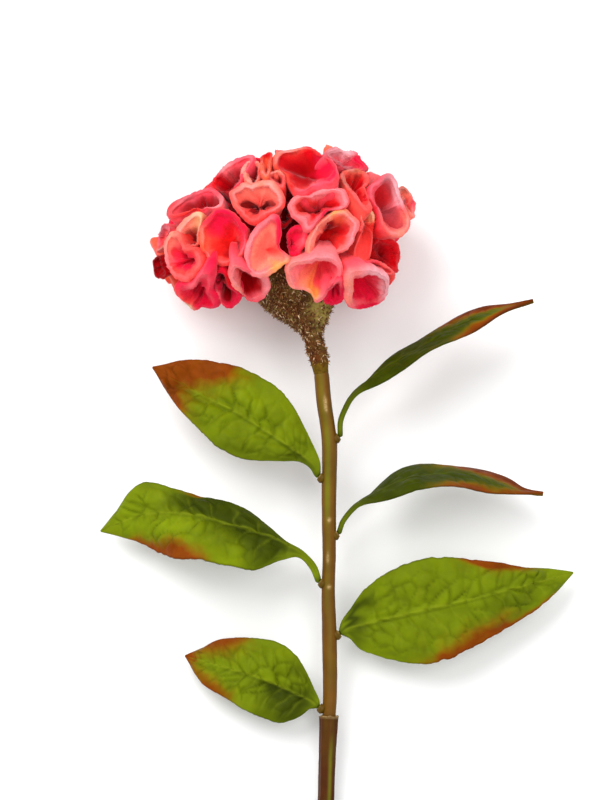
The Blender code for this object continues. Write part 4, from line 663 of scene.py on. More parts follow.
class Form:
    """The points, faces and painted values of one piece, gathered part by part."""

    def __init__(self):
        self.points, self.faces, self.values, self.count = [], [], {}, 0

    def add(self, points, faces, **values):
        self.points.append(points)
        self.faces += [group + self.count for group in faces]
        for name, value in values.items():
            value = np.broadcast_to(value, (len(points), *np.shape(value)[1:]))
            self.values.setdefault(name, []).append(value)
        self.count += len(points)

    def build(self, name, finish, slot, *nodes):
        """Makes the piece, which rides on the plant and may stand for CAD nodes."""
        places = to_frame(np.concatenate(self.points))
        places[:, 2] = np.maximum(places[:, 2], 0.0)
        corners = np.concatenate([group.ravel() for group in self.faces]).astype(np.int32)
        sizes = np.concatenate([np.full(len(g), g.shape[1]) for g in self.faces])
        mesh = bpy.data.meshes.new(name)
        mesh.vertices.add(len(places))
        mesh.vertices.foreach_set("co", places.astype(np.float32).ravel())
        mesh.loops.add(len(corners))
        mesh.loops.foreach_set("vertex_index", corners)
        mesh.polygons.add(len(sizes))
        starts = np.concatenate([[0], np.cumsum(sizes)[:-1]]).astype(np.int32)
        mesh.polygons.foreach_set("loop_start", starts)
        mesh.update(calc_edges=True)
        mesh.validate()
        for value_name, parts in self.values.items():
            value = np.concatenate(parts)
            if value.ndim == 1:
                layer = mesh.attributes.new(value_name, "FLOAT", "POINT")
                layer.data.foreach_set("value", value.astype(np.float32))
            else:
                layer = mesh.attributes.new(value_name, "FLOAT_COLOR", "POINT")
                full = np.concatenate([value, np.ones((len(value), 1))], axis=1)
                layer.data.foreach_set("color", full.astype(np.float32).ravel())
        mesh.shade_smooth()
        mesh.materials.append(finish)
        piece = link(name, mesh)
        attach(piece, "root")
        if nodes:
            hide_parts(*nodes)
        return piece


def spikes(feet, ways, lengths, radii, sink):
    """Closed three-sided spikes: points and faces. sink is how far their feet lie below."""
    ways = unit(ways)
    helper = np.where(np.abs(ways[:, 2:]) < 0.8, (0.0, 0.0, 1.0), (1.0, 0.0, 0.0))
    across = unit(np.cross(ways, helper))
    over = np.cross(ways, across)
    roots = feet - ways * np.reshape(sink, (-1, 1))
    corners = [
        roots + across * (radii * math.cos(a))[:, None] + over * (radii * math.sin(a))[:, None]
        for a in (0, TURN / 3, 2 * TURN / 3)
    ]
    tips = feet + ways * lengths[:, None]
    points = np.stack([*corners, tips], axis=1).reshape(-1, 3)
    base = np.arange(len(feet))[:, None] * 4
    faces = [base + np.array(face) for face in ((0, 1, 3), (1, 2, 3), (2, 0, 3), (2, 1, 0))]
    return points, [np.concatenate(faces)]


# Crest

def crest_level(points, inset):
    """1 on the crest's round shape, drawn in by inset, and less inside."""
    x, y, z = np.moveaxis(np.asarray(points, float), -1, 0)
    x, y = x - CREST_X, y - CREST_Y
    reach = round_value(OUTLINE, np.arctan2(y, x)) - inset
    deep = np.abs(z / (CREST_DEPTH - inset)) ** ROUNDNESS
    return ((np.hypot(x, y) / reach) ** ROUNDNESS + deep) ** (1 / ROUNDNESS)


def crest_point(rays, inset):
    """Where rays from the crest's middle meet its round shape."""
    middle = np.array((CREST_X, CREST_Y, 0.0))
    return middle + rays / crest_level(middle + rays, inset)[..., None]


def crest_normal(point):
    steps = np.eye(3) * 2.0
    slope = crest_level(point + steps, INSET) - crest_level(point - steps, INSET)
    return slope / np.linalg.norm(slope)


def on_front(x, y):
    """The point of the crest's round shape that is seen at x, y from the front."""
    left = 1 - min(0.97, float(crest_level((x, y, 0.0), INSET))) ** ROUNDNESS
    return np.array((x, y, (CREST_DEPTH - INSET) * left ** (1 / ROUNDNESS)))


def front_ruffles():
    """The ruffles that the front view shows, each with its own rim, hollow and dyes."""
    made = []
    for index, (row, dyes) in enumerate(zip(FRONT_RUFFLES, RUFFLE_DYES)):
        x, y, lift, lip_angle, lip_drop, rim, hollow = row
        point = on_front(x, y)
        normal = crest_normal(point)
        slope = -normal[:2] / max(normal[2], FRONT_TILT)
        made.append({
            "centre": point + (0.0, 0.0, lift),
            "normal": normal,
            "lip_axis": TO_VIEWER,
            "across": np.array((1.0, 0.0, slope[0])),
            "over": np.array((0.0, 1.0, slope[1])),
            "rim": rim,
            "hollow": hollow,
            "lip": (math.radians(lip_angle), lip_drop),
            "depth": SHALLOW.get(index, 1.0),
            "dyes": dyes,
        })
    return made


def spread(taken, rule):
    """Middles for the ruffles behind the front ones, picked from a spiral of candidates."""
    points = []
    for index in range(BACK_CANDIDATES):
        level = 1 - 2 * (index + 0.5) / BACK_CANDIDATES
        turn = index * math.pi * (3 - math.sqrt(5))
        ring = math.sqrt(1 - level * level)
        point = crest_point(np.array((ring * math.cos(turn), level, ring * math.sin(turn))), INSET)
        near = min(np.linalg.norm(point - other) for other in taken + points)
        open_side = 5.0 * (point[0] < -60.0)  # the front ruffles leave more open at the left
        if (point[2] < rule["front_limit"] + open_side and point[1] > UNDERSIDE
                and near > rule["spacing"]):
            points.append(point)
    return points


def skirt_places():
    """Middles and directions of the small tucks under the crest, round the funnel's top."""
    x0, y0, half_width, half_depth = RECEPTACLE[-2]
    reach = (half_width + SKIRT_CLEARANCE, 0.0, half_depth + SKIRT_CLEARANCE)
    places = []
    for turn in ring_angles(SKIRT_COUNT) + 0.2:
        out = np.array((math.cos(turn), 0.0, math.sin(turn)))
        drop = SKIRT_DROP + SKIRT_WAVE * math.sin(5 * turn)
        middle = (x0, y0 - drop, 0.0) + out * reach
        if middle[2] < SKIRT_FRONT_LIMIT:
            places.append((middle, unit(out * 0.55 - 0.83 * UP)))
    return places


def ruled_ruffle(point, normal, rule, rng):
    """An oval ruffle with two folds, whose size, place and shape are drawn by a rule."""
    across = unit(np.cross((0.0, 1.0, 0.3), normal))
    size = rule["spacing"] * rng.uniform(*rule["size"])
    return {
        "centre": point + normal * (rule["outward"] * rng.uniform(*rule["lift"])),
        "normal": normal,
        "lip_axis": normal,
        "across": across,
        "over": np.cross(normal, across),
        "lip": (rng.uniform(0, TURN), rng.uniform(0.0, rule["lip"])),
        "oval": (size, size * rng.uniform(*rule["flat"]), rng.uniform(0, math.pi)),
        "folds": [(rng.uniform(0, TURN), rng.uniform(*rule["fold"])) for _ in range(2)],
        "wall": rng.uniform(*rule["wall"]),
        "grid": rule["grid"],
    }


def back_ruffles(front):
    """Ruffles by rule, pressed flat towards their neighbours, and small tucks between them."""
    rng = np.random.default_rng(SEED)
    taken = [ruffle["centre"] for ruffle in front]
    made = [ruled_ruffle(point, crest_normal(point), BACK_RULE, rng)
            for point in spread(taken, BACK_RULE)]
    # Small tucks of velvet fill what the ruffles leave open.
    skirt = skirt_places()
    taken += [ruffle["centre"] for ruffle in made] + [point for point, _ in skirt]
    fillers = [(point, crest_normal(point)) for point in spread(taken, TUCK_RULE)]
    made += [ruled_ruffle(point, normal, TUCK_RULE, rng) for point, normal in fillers + skirt]
    angles = ring_angles(len(FRONT_RUFFLES[0][5]))
    rims = [pressed_rim(ruffle, front + made, angles) for ruffle in made]
    for ruffle, rim in zip(made, rims):
        ruffle["rim"] = rim
        ruffle["hollow"] = np.maximum(rim - ruffle["wall"], 0.9) * rng.uniform(0.8, 1.0)
    for ruffle in made:
        rim_dye, hollow_dye = rng.choice(BACK_RIMS), rng.choice(BACK_HOLLOWS)
        patches = [(rng.uniform(0, 360), RIM, rng.uniform(30, 60), rng.choice(BACK_RIMS))
                   for _ in range(3)]
        patches.append((rng.uniform(0, 360), WALL, 60, rng.choice(("ember", "magenta", "pink"))))
        ruffle["dyes"] = (rim_dye, rim_dye, hollow_dye, rng.integers(0, 4), patches)
    return made


def oval_radius(ruffle, angle):
    if "rim" in ruffle:
        return float(round_value(ruffle["rim"], angle))
    a, b, turn = ruffle["oval"]
    return 1 / math.hypot(math.cos(angle - turn) / a, math.sin(angle - turn) / b)


def pressed_rim(ruffle, others, angles):
    """The rim's radii, pressed flat towards each neighbour and drawn in where it folds."""
    rays = np.outer(np.cos(angles), ruffle["across"]) + np.outer(np.sin(angles), ruffle["over"])
    total = np.array([oval_radius(ruffle, angle) for angle in angles]) ** -PRESS
    for other in others:
        toward = other["centre"] - ruffle["centre"]
        distance = np.linalg.norm(toward)
        if other is ruffle or distance > NEIGHBOURS_WITHIN:
            continue
        toward /= distance
        mine, theirs = (
            oval_radius(one, math.atan2(way @ one["over"], way @ one["across"]))
            for one, way in ((ruffle, toward), (other, -toward))
        )
        room = distance * mine / (mine + theirs) - CREVICE / 2
        total += (np.maximum(rays @ toward, 0.02) / room) ** PRESS
    rim = total ** (-1 / PRESS)
    for fold_angle, depth in ruffle["folds"]:
        rim *= 1 - depth * bell((wrapped(angles - fold_angle), 0, FOLD_REACH))
    return rim


def warp(points):
    """Bends what lies behind the front ruffles a little, so that no ruffle stays a plain ring."""
    x, y, z = np.moveaxis(points, -1, 0) * TURN
    short, long = WARP_LENGTHS
    share = np.clip((20.0 - points[..., 2:]) / 12.0, 0.0, 1.0)
    return points + WARP * share * np.stack([
        np.sin(y / short + 1.3) * np.cos(z / long + 0.4),
        np.sin(z / short + 2.1) * np.cos(x / long + 5.0),
        np.sin(x / short + 0.7) * np.cos(y / long + 3.9),
    ], axis=-1)


def funnel_room(points, clearance):
    """Moves what lies in the funnel, or closer to it than clearance, out to its side."""
    levels = np.array([section[1] for section in RECEPTACLE])
    x0, half_width, half_depth = (
        np.interp(points[:, 1], levels, [section[i] for section in RECEPTACLE]) for i in (0, 2, 3))
    half_width, half_depth = half_width + clearance, half_depth + clearance
    off = np.stack([(points[:, 0] - x0) / half_width, points[:, 2] / half_depth], axis=1)
    reach = np.maximum(np.linalg.norm(off, axis=1), 1e-6)
    push = np.where((points[:, 1] < levels[-1]) & (reach < 1), 1 / reach, 1.0)
    moved = points.copy()
    moved[:, 0] = x0 + off[:, 0] * half_width * push
    moved[:, 2] = off[:, 1] * half_depth * push
    return moved


def velvet_relief(points, place, angles, drift, ruffle, look, seed):
    """The velvet's height over the ruffle's form: soft lumps, ridges along the lip and pleats."""
    lump, pleat = look.lump_height * IN_MM, look.pleat_height * IN_MM
    lip = smooth_step(0.36, 0.44, place) * smooth_step(0.80, 0.74, place)
    inside = smooth_step(0.74, 0.86, place) * smooth_step(1.0, 0.93, place)
    outside = smooth_step(0.40, 0.26, place) * smooth_step(0.0, 0.15, place)
    ridges, folds = ruffle["dyes"][3] + 1, 3 + seed % 3
    along = TURN * ridges * 0.75 * (place - 0.42) / 0.3 + 1.1 * np.sin(angles * 3 + seed) + seed
    hollow_pleats = 2.2 * np.sin(folds * angles + seed + drift) + 2.0 * lumps(points, 3.6, 14)
    wall_pleats = 1.2 * np.sin((folds + 2) * angles + seed + 2.0 * place + drift)
    return (lump * lumps(points, 7.5, 11)
            + lump * (0.55 * lumps(points, 3.1, 12) + 0.3 * lumps(points, 1.7, 13))
            + 0.20 * lip * np.sin(along)
            + pleat * (inside * ruffle.get("depth", 1.0) * hollow_pleats + outside * wall_pleats))


def ruffle_surface(ruffle, sides, rows, look, seed):
    """A grid of points from the root up the outside, over the lip and down the inside."""
    angles = ring_angles(sides)
    steps = np.linspace(0, 1, rows)
    stage = (len(STAGES) - 1) * (steps + 0.30 * np.sin(TURN * steps) / TURN)
    depth, lip_depth, across_lip, inside, share, place = catmull(STAGES, stage).T[:, :, None]
    # A shallow hollow keeps its lip: only what lies inside the lip's end comes up.
    lip_end, *_, lip_place = STAGES[4]
    risen = lip_end + (depth - lip_end) * ruffle.get("depth", 1.0)
    depth = np.where(place > lip_place, risen, depth)
    # Noise that closes round the ring, and that is another for each ruffle
    ring = np.stack([np.cos(angles), np.sin(angles), np.full(sides, seed * 1.7)], axis=1) * 9
    rim, hollow = (round_value(ruffle[part], angles) for part in ("rim", "hollow"))
    rim = rim * (1 + 0.04 * lumps(ring, 2.6, 3)) + 0.32 * lumps(ring, 1.1, 4)
    hollow = np.maximum(
        hollow * (1 + 0.06 * lumps(ring, 2.1, 5)) + 0.35 * lumps(ring, 1.2, 6), 0.4)
    width = np.clip(LIP_SHARE * (rim - hollow), 0.8, look.lip_width * IN_MM)
    width = width * (1 + 0.12 * lumps(ring, 2.3, 8))
    inner = np.maximum(rim - width, 0.4)
    radius = (rim - width * across_lip + (hollow - inner) * inside) * share
    lip_angle, lip_drop = ruffle["lip"]
    drop = lip_drop * (0.5 + 0.5 * np.cos(angles - lip_angle)) ** 2
    down = lip_depth * width + drop * (1 - depth / RUFFLE_DEPTH)
    rays = np.outer(np.cos(angles), ruffle["across"]) + np.outer(np.sin(angles), ruffle["over"])
    points = warp(ruffle["centre"] + rays * radius[..., None] - depth[..., None] * ruffle["normal"]
                  - down[..., None] * ruffle["lip_axis"])
    drift = 1.5 * lumps(ring, 5.0, 7) + 5.0 * (place - 0.8) * (-1) ** seed
    relief = velvet_relief(points, place, angles, drift, ruffle, look, seed)
    return points + grid_normals(points) * relief[..., None], place[:, 0], angles


def dye_surface(ruffle, points, place, angles, colours, seed):
    """The velvet's colour over a ruffle: wall, rim and hollow, then its patches, a painted highlight
    along the lip and painted shade at the root and the hollow's bottom.
    """
    wall, rim, hollow, _, patches = ruffle["dyes"]
    blur = 0.045 * lumps(points, 6.0, 21)
    here = place[:, None] + blur
    colour = mix(colours[wall], colours[rim], smooth_step(0.28, 0.48, here)[..., None])
    colour = mix(colour, colours[hollow], smooth_step(0.71, 0.86, here)[..., None])
    wander = angles + 0.35 * lumps(points, 7.0, 22 + seed % 3)
    for angle, middle, reach, dye in patches:
        share = bell((wrapped(wander - math.radians(angle)), 0, math.radians(reach)),
                     (here, middle, 0.19))
        colour = mix(colour, colours[dye], np.clip(1.25 * share, 0, 1)[..., None])
    # Painted highlight: the top of each lip turns paler, in patches, towards the palest pink dye.
    lip_highlight = bell((here, RIM, 0.075)) * np.clip(0.6 + 0.9 * lumps(points, 4.2, 25), 0, 1)
    pale = 0.30 * lip_highlight[..., None] * smooth_step(0.01, 0.12, colour[..., 1:2])
    colour = mix(colour, colours["pale_pink_and_sheen"], pale)
    # Painted shade: darker and redder towards the root and the bottom of the hollow.
    unshaded_share = 1 - 0.55 * (smooth_step(0.22, 0.0, place) + smooth_step(0.9, 1.0, place))
    return colour * (mix(np.array((0.86, 0.25, 0.30)), 1.0, unshaded_share[:, None]))[:, None, :]


def nap_spikes(points, normals, colours, count, height, rng):
    """Short stiff fibres that stand out of the velvet, a little paler than it as a painted sheen."""
    rows, sides, _ = points.shape
    lip = rng.normal(RIM, 0.13, count) * (rows - 1)
    row = np.clip(lip.astype(int), 1, rows - 2)
    side = rng.integers(0, sides, count)
    ways = normals[row, side] + rng.uniform(-0.5, 0.5, (count, 3))
    made, faces = spikes(points[row, side] + rng.uniform(-0.2, 0.2, (count, 3)), ways,
                         height * rng.uniform(0.5, 1.1, count), np.full(count, 0.075),
                         np.full(count, 0.25))
    # Painted sheen: the fibres are tinted towards pale pink, the more so on lighter dyes.
    pale = rng.uniform(0.0, 0.35, (count, 1)) * smooth_step(0.05, 0.25, colours[row, side][:, 1:2])
    tint = mix(colours[row, side], np.array((1.0, 0.78, 0.78)), pale)
    return made, faces, np.repeat(tint, 4, axis=0)


def core_form(colours):
    """The dark velvet between the ruffles' roots."""
    polar = np.linspace(0.04, math.pi - 0.04, CORE_ROWS)[:, None]
    turn = ring_angles(CORE_SIDES)
    rays = np.stack([np.sin(polar) * np.cos(turn), -np.cos(polar) + 0 * turn,
                     -np.sin(polar) * np.sin(turn)], axis=-1)
    points = crest_point(rays, CORE_INSET)
    folds = 1 - np.abs(lumps(points, 9.0, 31)) ** 0.8
    grow = smooth_step(214.0, 226.0, points[..., 1])
    points += rays * (grow * (4.0 * folds + 0.9 * lumps(points, 4.0, 32) - 1.5))[..., None]
    form = Form()
    made, faces = closed_rings(points)
    form.add(funnel_room(made, GAP), faces, dye=np.tile(colours["deep"], (len(made), 1)))
    return form


# Leaves

def socket_line(leaf):
    """Where a leaf's peg enters the stem, and the direction from the stem into the leaf."""
    out = np.array((leaf["side"] * math.cos(SOCKET_RISE), math.sin(SOCKET_RISE), 0.0))
    return np.array(leaf["midrib"][0]), out


def leaf_frame(leaf, rows):
    """Middles, directions across the blade and out of its face at even steps along the midrib."""
    mouth, out = socket_line(leaf)
    path = smooth_path((mouth + out * (BOSS_HEIGHT + GAP + 0.5), *leaf["midrib"][1:]), rows)
    along = unit(np.gradient(path, axis=0))
    up = leaf["side"] * unit(np.cross((0.0, 0.0, 1.0), along))
    face = leaf["side"] * unit(np.cross(along, up))
    share = np.linspace(0, 1, rows)
    roll = np.radians(np.interp(share, (0.0, 0.5, 1.0), leaf["roll"]))[:, None]
    up, face = up * np.cos(roll) + face * np.sin(roll), face * np.cos(roll) - up * np.sin(roll)
    return path, up, face, share[:, None]


def cells(x, y, size, seed):
    """Irregular cells, drawn out across the blade: 0 in the creases, 1 inside each cell."""
    rng = np.random.default_rng(SEED + seed)
    seen = np.full(x.shape, np.inf), np.full(x.shape, np.inf)
    columns = np.arange(-1, math.ceil(x.max() / size) + 2)
    for column in columns:
        for row in np.arange(-8, 9):
            cx = (column + rng.uniform(-0.5, 0.5) + 0.5 * (row % 2)) * size
            cy = (row + rng.uniform(-0.5, 0.5)) * size * 0.8
            distance = np.hypot(x - cx, (y - cy))
            seen = (np.minimum(seen[0], distance),
                    np.minimum(seen[1], np.maximum(seen[0], distance)))
    return np.clip((seen[1] - seen[0]) / (0.55 * size), 0, 1)


def vein_relief(u, width, v, length, seed, look):
    """Height of the blade's face over its plain shape, how much vein shows there, and the painted
    shade in its creases and under the midrib.
    """
    spacing = length / 11.0
    lean = u * length - 0.75 * np.abs(width) + 0.02 * width * width
    phase = lean / spacing + 0.5 * (v > 0)
    place = np.stack([u * length / 5.5, width / 5.5, np.full_like(u, seed * 3.1)], axis=-1)
    phase = phase + 0.22 * lumps(place, 1.0, 41)
    near = np.abs(phase - np.round(phase)) * spacing * 0.8
    vein = bell((near, 0, 0.55)) * smooth_step(1.0, 0.55, np.abs(v))
    puff = np.sin(math.pi * np.clip(near / (0.4 * spacing), 0, 1) * 0.5) ** 2
    edge = smooth_step(1.0, 0.7, np.abs(v)) * smooth_step(0.06, 0.16, u) * smooth_step(1.0, 0.9, u)
    bend = 1.3 * lumps(place, 1.3, 45)
    cell = cells(lean + bend, width + 1.2 * lumps(place, 1.1, 46), 8.4, seed)
    puffed = 1 - (1 - cell) ** 2.6
    strength = np.clip(0.62 + 0.75 * lumps(place, 1.9, 47), 0.12, 1.25)
    relief = look.relief * IN_MM * edge * (
        1.5 * strength * puffed + 0.35 * puff - 0.35 * vein + 0.35 * lumps(place, 0.62, 42)
        + 1.3 * lumps(place, 1.9, 44))
    middle = bell((width, 0, 0.55))
    shoulder = bell((np.abs(width), 1.5, 0.8))
    blade = smooth_step(0.04, 0.14, u)
    relief += blade * (0.26 * middle - 0.30 * shoulder) * (1.15 - u)
    # Painted shade: darker in the creases between the puffs, and a painted shadow below the midrib's
    # fold.
    crease = edge * strength * bell((cell, 0, 0.2))
    crease += 1.1 * blade * bell((width, -1.25, 0.6)) * smooth_step(0.85, 0.4, u)
    return relief, np.clip(0.5 * vein * edge + middle, 0, 1), np.clip(crease, 0, 1)


def spots(marks, u, v):
    """A mask of soft spots: where, their reaches and how much each adds."""
    mask = np.zeros_like(u)
    for u0, v0, reach_u, reach_v, amount in marks:
        mask += amount * bell((u, u0, reach_u), (v, v0, reach_v))
    return mask


def leaf_rings(leaf, middle, face, over, under):
    """Rings round a leaf, from the peg in its socket along the petiole to the tip."""
    top = middle + face[:, None] * over[..., None]
    bottom = middle - face[:, None] * under[..., None]
    rings = np.concatenate([top, bottom[:, ::-1]], axis=1)
    mouth, out = socket_line(leaf)
    first = rings[0] - rings[0].mean(axis=0)
    first -= np.outer(first @ out, out)
    peg = unit(first) * PEG_RADIUS
    neck = mouth + out * (BOSS_HEIGHT + GAP)
    feet = [mouth - out * 1.0 + peg, neck + peg, neck + 0.75 * first, neck + out * 0.3 + first]
    return np.concatenate([feet, rings])


def on_faces(top, bottom=None):
    """Values of a leaf's rings, from those of its faces; the peg's rings take the petiole's."""
    value = np.concatenate([top, (top if bottom is None else bottom)[:, ::-1]], axis=1)
    return on_ends(np.concatenate([np.repeat(value[:1], 4, axis=0), value]))


def leaf_form(name, look):
    """A leaf over u, from its socket (0) to its tip (1), and v, across it from -1 to 1."""
    leaf, marks = LEAVES[name], LEAF_MARKS[name]
    seed = sorted(LEAVES).index(name)
    path, up, face, u = leaf_frame(leaf, LEAF_ROWS)
    length = np.linalg.norm(np.diff(path, axis=0), axis=1).sum()
    v = np.sin(np.linspace(-1, 1, 2 * LEAF_STEPS + 1) * math.pi / 2)[None, :] * np.ones_like(u)
    u = u * np.ones_like(v)
    upper, lower = (np.maximum(smooth_interp(u[:, :1], WIDTH_STATIONS, leaf[side]), 0.35)
                    for side in ("upper", "lower"))
    # 0 on the round petiole, 1 on the flat blade
    blade = np.clip((upper + lower - 2 * PETIOLE_HALF_WIDTH) / 10.0, 0, 1)
    reach = np.abs(v) ** (1.0 + 0.35 * blade)
    edge_place = np.stack([u * length, np.sign(v) * 20 + 0 * u, np.full_like(u, seed)], axis=-1)
    ragged = 1 + blade * (0.018 * lumps(edge_place, 3.0, 51) + 0.010 * lumps(edge_place, 1.2, 52))
    width = np.sign(v) * np.where(v > 0, upper, lower) * reach * ragged

    height, waves, phase = leaf["wave"]
    lift = blade * np.abs(width) * (leaf["fold"] - leaf["curl"] * reach)
    lift += blade * height * v * v * np.sin(TURN * waves * u + phase + v)
    relief, vein, crease = (
        marks.get("smooth", 1.0) * value for value in vein_relief(u, width, v, length, seed, look))
    lift += blade * relief
    middle = path[:, None] + up[:, None] * width[..., None] + face[:, None] * lift[..., None]

    rib = RIB * bell((width, 0, RIB_WIDTH)) * (1.15 - u)
    flat = BLADE + (BLADE_EDGE - BLADE) * reach
    round_half = PETIOLE_THICKNESS / 2 * np.sqrt(np.maximum(0.06, 1 - (0.93 * v) ** 2))
    groove = 0.45 * bell((v, 0, 0.3)) * smooth_step(0.0, 0.05, u)
    over = blade * flat / 2 + (1 - blade) * (round_half - groove)
    under = blade * (flat / 2 + rib) + (1 - blade) * round_half

    wander = 0.05 * lumps(edge_place + v[..., None] * 20, 9.0, 53)
    blush = 1.15 * spots(marks["blush"], u + wander, v + 1.5 * wander)
    margin = smooth_step(0.965, 1.0, np.abs(v)) * smooth_step(0.1, 0.3, u)
    form = Form()
    form.add(*closed_rings(leaf_rings(leaf, middle, face, over, under)),
             blush=on_faces(np.clip(blush, 0, marks.get("rust", 1.0))),
             # shade holds painted light above 0 and painted shade below 0.
             shade=on_faces(spots(marks["shade"], u + wander, v + 3 * wander)),
             vein=on_faces(vein * blade + 0.5 * (1 - blade)), crease=on_faces(crease * blade),
             margin=on_faces(margin), face=on_faces(np.ones_like(u), np.zeros_like(u)),
             root=on_faces(smooth_step(0.03, 0.0, u)))
    return form


# Stem

def stem_rings(profile, rows, sides):
    """Rings round a stem in the plane Z = 0, with each point's angle and place up the stem."""
    axis = smooth_path(profile, rows)
    slopes = unit(np.gradient(axis[:, :2], axis=0))
    across = np.stack([slopes[:, 1], -slopes[:, 0], np.zeros(rows)], axis=1)
    angle = ring_angles(sides)
    middle = np.concatenate([axis[:, :2], np.zeros((rows, 1))], axis=1)
    out = (-across[:, None] * np.cos(angle)[None, :, None]
           + TO_VIEWER * np.sin(angle)[None, :, None])
    return middle[:, None], out, axis[:, 2][:, None], angle[None, :], axis[:, 1][:, None]


def collar_form(form, leaf):
    """The scar that holds a leaf: a low cup round the foot of its petiole."""
    mouth, out = socket_line(leaf)
    across = unit(np.cross(out, TO_VIEWER))
    rows = catmull(COLLAR, np.linspace(0, len(COLLAR) - 1, COLLAR_ROWS))
    angle = ring_angles(COLLAR_SIDES)
    ray = across * np.cos(angle)[:, None] + TO_VIEWER * np.sin(angle)[:, None]
    ring = mouth + rows[:, :1, None] * out + rows[:, 1, None, None] * ray[None]
    ring += ray[None] * (0.12 * lumps(ring, 1.1, 61))[..., None]
    points, faces = closed_rings(ring)
    scar = smooth_step(0.2, 0.9, rows[:, :1]) * np.ones(COLLAR_SIDES)
    # dark at 0.8: the collar's dark olive-brown, partly painted shade at the leaf's foot.
    form.add(points, faces, olive=np.full(len(points), 0.3), dark=np.full(len(points), 0.8),
             scar=on_ends(scar * np.clip(0.25 + 0.5 * lumps(ring, 0.9, 62), 0, 1)),
             end=np.zeros(len(points)))


def upper_stem_form():
    middle, out, radius, angle, y = stem_rings(UPPER_STEM, *UPPER_GRID)
    groove = 0.018 * np.cos(5 * angle + 0.012 * y) + 0.010 * np.cos(9 * angle + 0.03 * y + 1.0)
    base = middle + out * radius[..., None]
    rough = 0.05 * lumps(base, 4.0, 71) + 0.03 * lumps(base * (1, 0.2, 1), 0.8, 72)
    bumps = np.zeros_like(base[..., 0])
    scar = np.zeros_like(bumps)
    for y0, a0, high, long, wide in STEM_SCARS:
        spot = bell((y, y0, long), (angle, a0, wide))
        bumps, scar = bumps + high * spot, scar + spot
    rings = base + out * (radius * groove + rough + bumps)[..., None]
    tenon = middle[-1] + 0.86 * (rings[-1] - middle[-1]) + unit(middle[-1] - middle[-9]) * 1.4
    form = Form()
    rings = np.concatenate([rings[:-2], 0.5 * (rings[-1:] + tenon), tenon[None]])
    points, faces = closed_rings(rings)
    streak = bell((angle, 1.33, 0.42)) * np.interp(
        y, (0, 50, 90, 100, 132, 142, 170), (0.15, 0.3, 0.5, 1.0, 1.0, 0.55, 0.45))
    side = np.abs(np.sin((angle - 1.45) / 2))
    streak = streak + 0.35 * bell((side, 0.75, 0.12)) + 0.2 * lumps(
        base * (1, 0.12, 1), 2.0, 76)
    # dark is painted shade, growing towards the stem's sides and back.
    form.add(points, faces, olive=on_ends(np.clip(streak, 0, 1)),
             dark=on_ends(smooth_step(0.35, 0.95, side) + 0 * y),
             scar=on_ends(np.clip(scar, 0, 1)), end=np.zeros(len(points)))
    for leaf in LEAVES.values():
        collar_form(form, leaf)
    return form


def lower_stem_form():
    middle, out, radius, angle, y = stem_rings(LOWER_STEM, *LOWER_GRID)
    ribs = 0.035 * np.cos(LOWER_RIBS * angle)
    flare = 0.16 * smooth_step(-2.2, 0.0, y)
    base = middle + out * radius[..., None]
    rough = 0.07 * lumps(base, 3.5, 73) + 0.04 * lumps(base * (1, 0.15, 1), 0.7, 74)
    wall = base + out * (radius * ribs + rough + flare)[..., None]
    # The torn lip of the stub turns in round the upper stem.
    torn = 0.55 * lumps(np.stack([np.cos(angle), np.sin(angle), 0 * angle], axis=-1) * 4, 1.3, 75)
    rim = []
    for shrink, rise in ((0.10, 0.25), (0.45, 0.35), (0.80, 0.15), (0.95, -0.6), (1.0, -2.5)):
        inner = radius[-1] * (1 - shrink) + (UPPER_STEM[1][2] + 0.28) * shrink
        ring = middle[-1] + out[-1] * inner[..., None]
        ring = ring + UP * (rise + torn[0] * (rise > 0))[:, None]
        rim.append(ring)
    wall[-1] += UP * (0.6 * torn[0])[:, None]
    # The cut end has a bevel and a shallow saw mark.
    start = []
    for shrink, rise in ((1.0, 0.25), (0.55, 0.1), (0.2, 0.0), (0.04, 0.1)):
        ring = middle[0] + (wall[0] - middle[0]) * (1 - shrink if shrink < 1 else 0.02)
        start.append(ring - UP * (0.0 if shrink < 0.1 else -0.12 * rise))
    rings = np.concatenate([start, wall, rim])
    levels = np.concatenate([np.full((4, 1), LOWER_END), y, np.zeros((5, 1))])
    scar = np.zeros(rings.shape[:2])
    scar[-6:] = 0.6
    scar[-8:-6] = 0.25
    end = np.zeros(rings.shape[:2])
    end[:4] = 1.0
    form = Form()
    points, faces = closed_rings(rings)
    streak = bell((angle, 1.95, 0.22)) * smooth_step(-6, -20, levels)
    streak = streak + 0.2 * lumps(rings * (1, 0.12, 1), 2.0, 77)
    side = np.abs(np.sin((angle - 1.2) / 2))
    # dark is partly the stub's own darker brown all over, and painted shade growing towards its
    # sides.
    form.add(points, faces, olive=on_ends(np.clip(streak, 0, 1)),
             dark=on_ends(0.3 + 0.7 * smooth_step(0.25, 0.9, side) + 0 * levels),
             scar=on_ends(scar), end=on_ends(end))
    return form


# Funnel

def funnel_surface(rows, sides):
    sections = smooth_path(RECEPTACLE, rows)
    x, y, half_width, half_depth = (sections[:, i][:, None] for i in range(4))
    slant = np.interp(y, SLANT_LEVELS, RECEPTACLE_SLANT)
    half_width, half_depth = (half - 0.18 * smooth_step(169.5, 165.0, y)
                              for half in (half_width, half_depth))
    angle = ring_angles(sides)[None, :]
    rings = np.stack([x - half_width * np.cos(angle), y - slant * half_width * np.cos(angle),
                      half_depth * np.sin(angle)], axis=-1)
    return rings, grid_normals(rings)


def bare_patch(points):
    """How bare of chaff the funnel is."""
    x, y, _ = np.moveaxis(points, -1, 0)
    patch = sum(share * bell((x, x0, wide), (y, y0, high))
                for share, x0, wide, y0, high in BARE_PATCHES)
    return np.clip(patch + 0.25 * lumps(points, 3.0, 81), 0, 1)


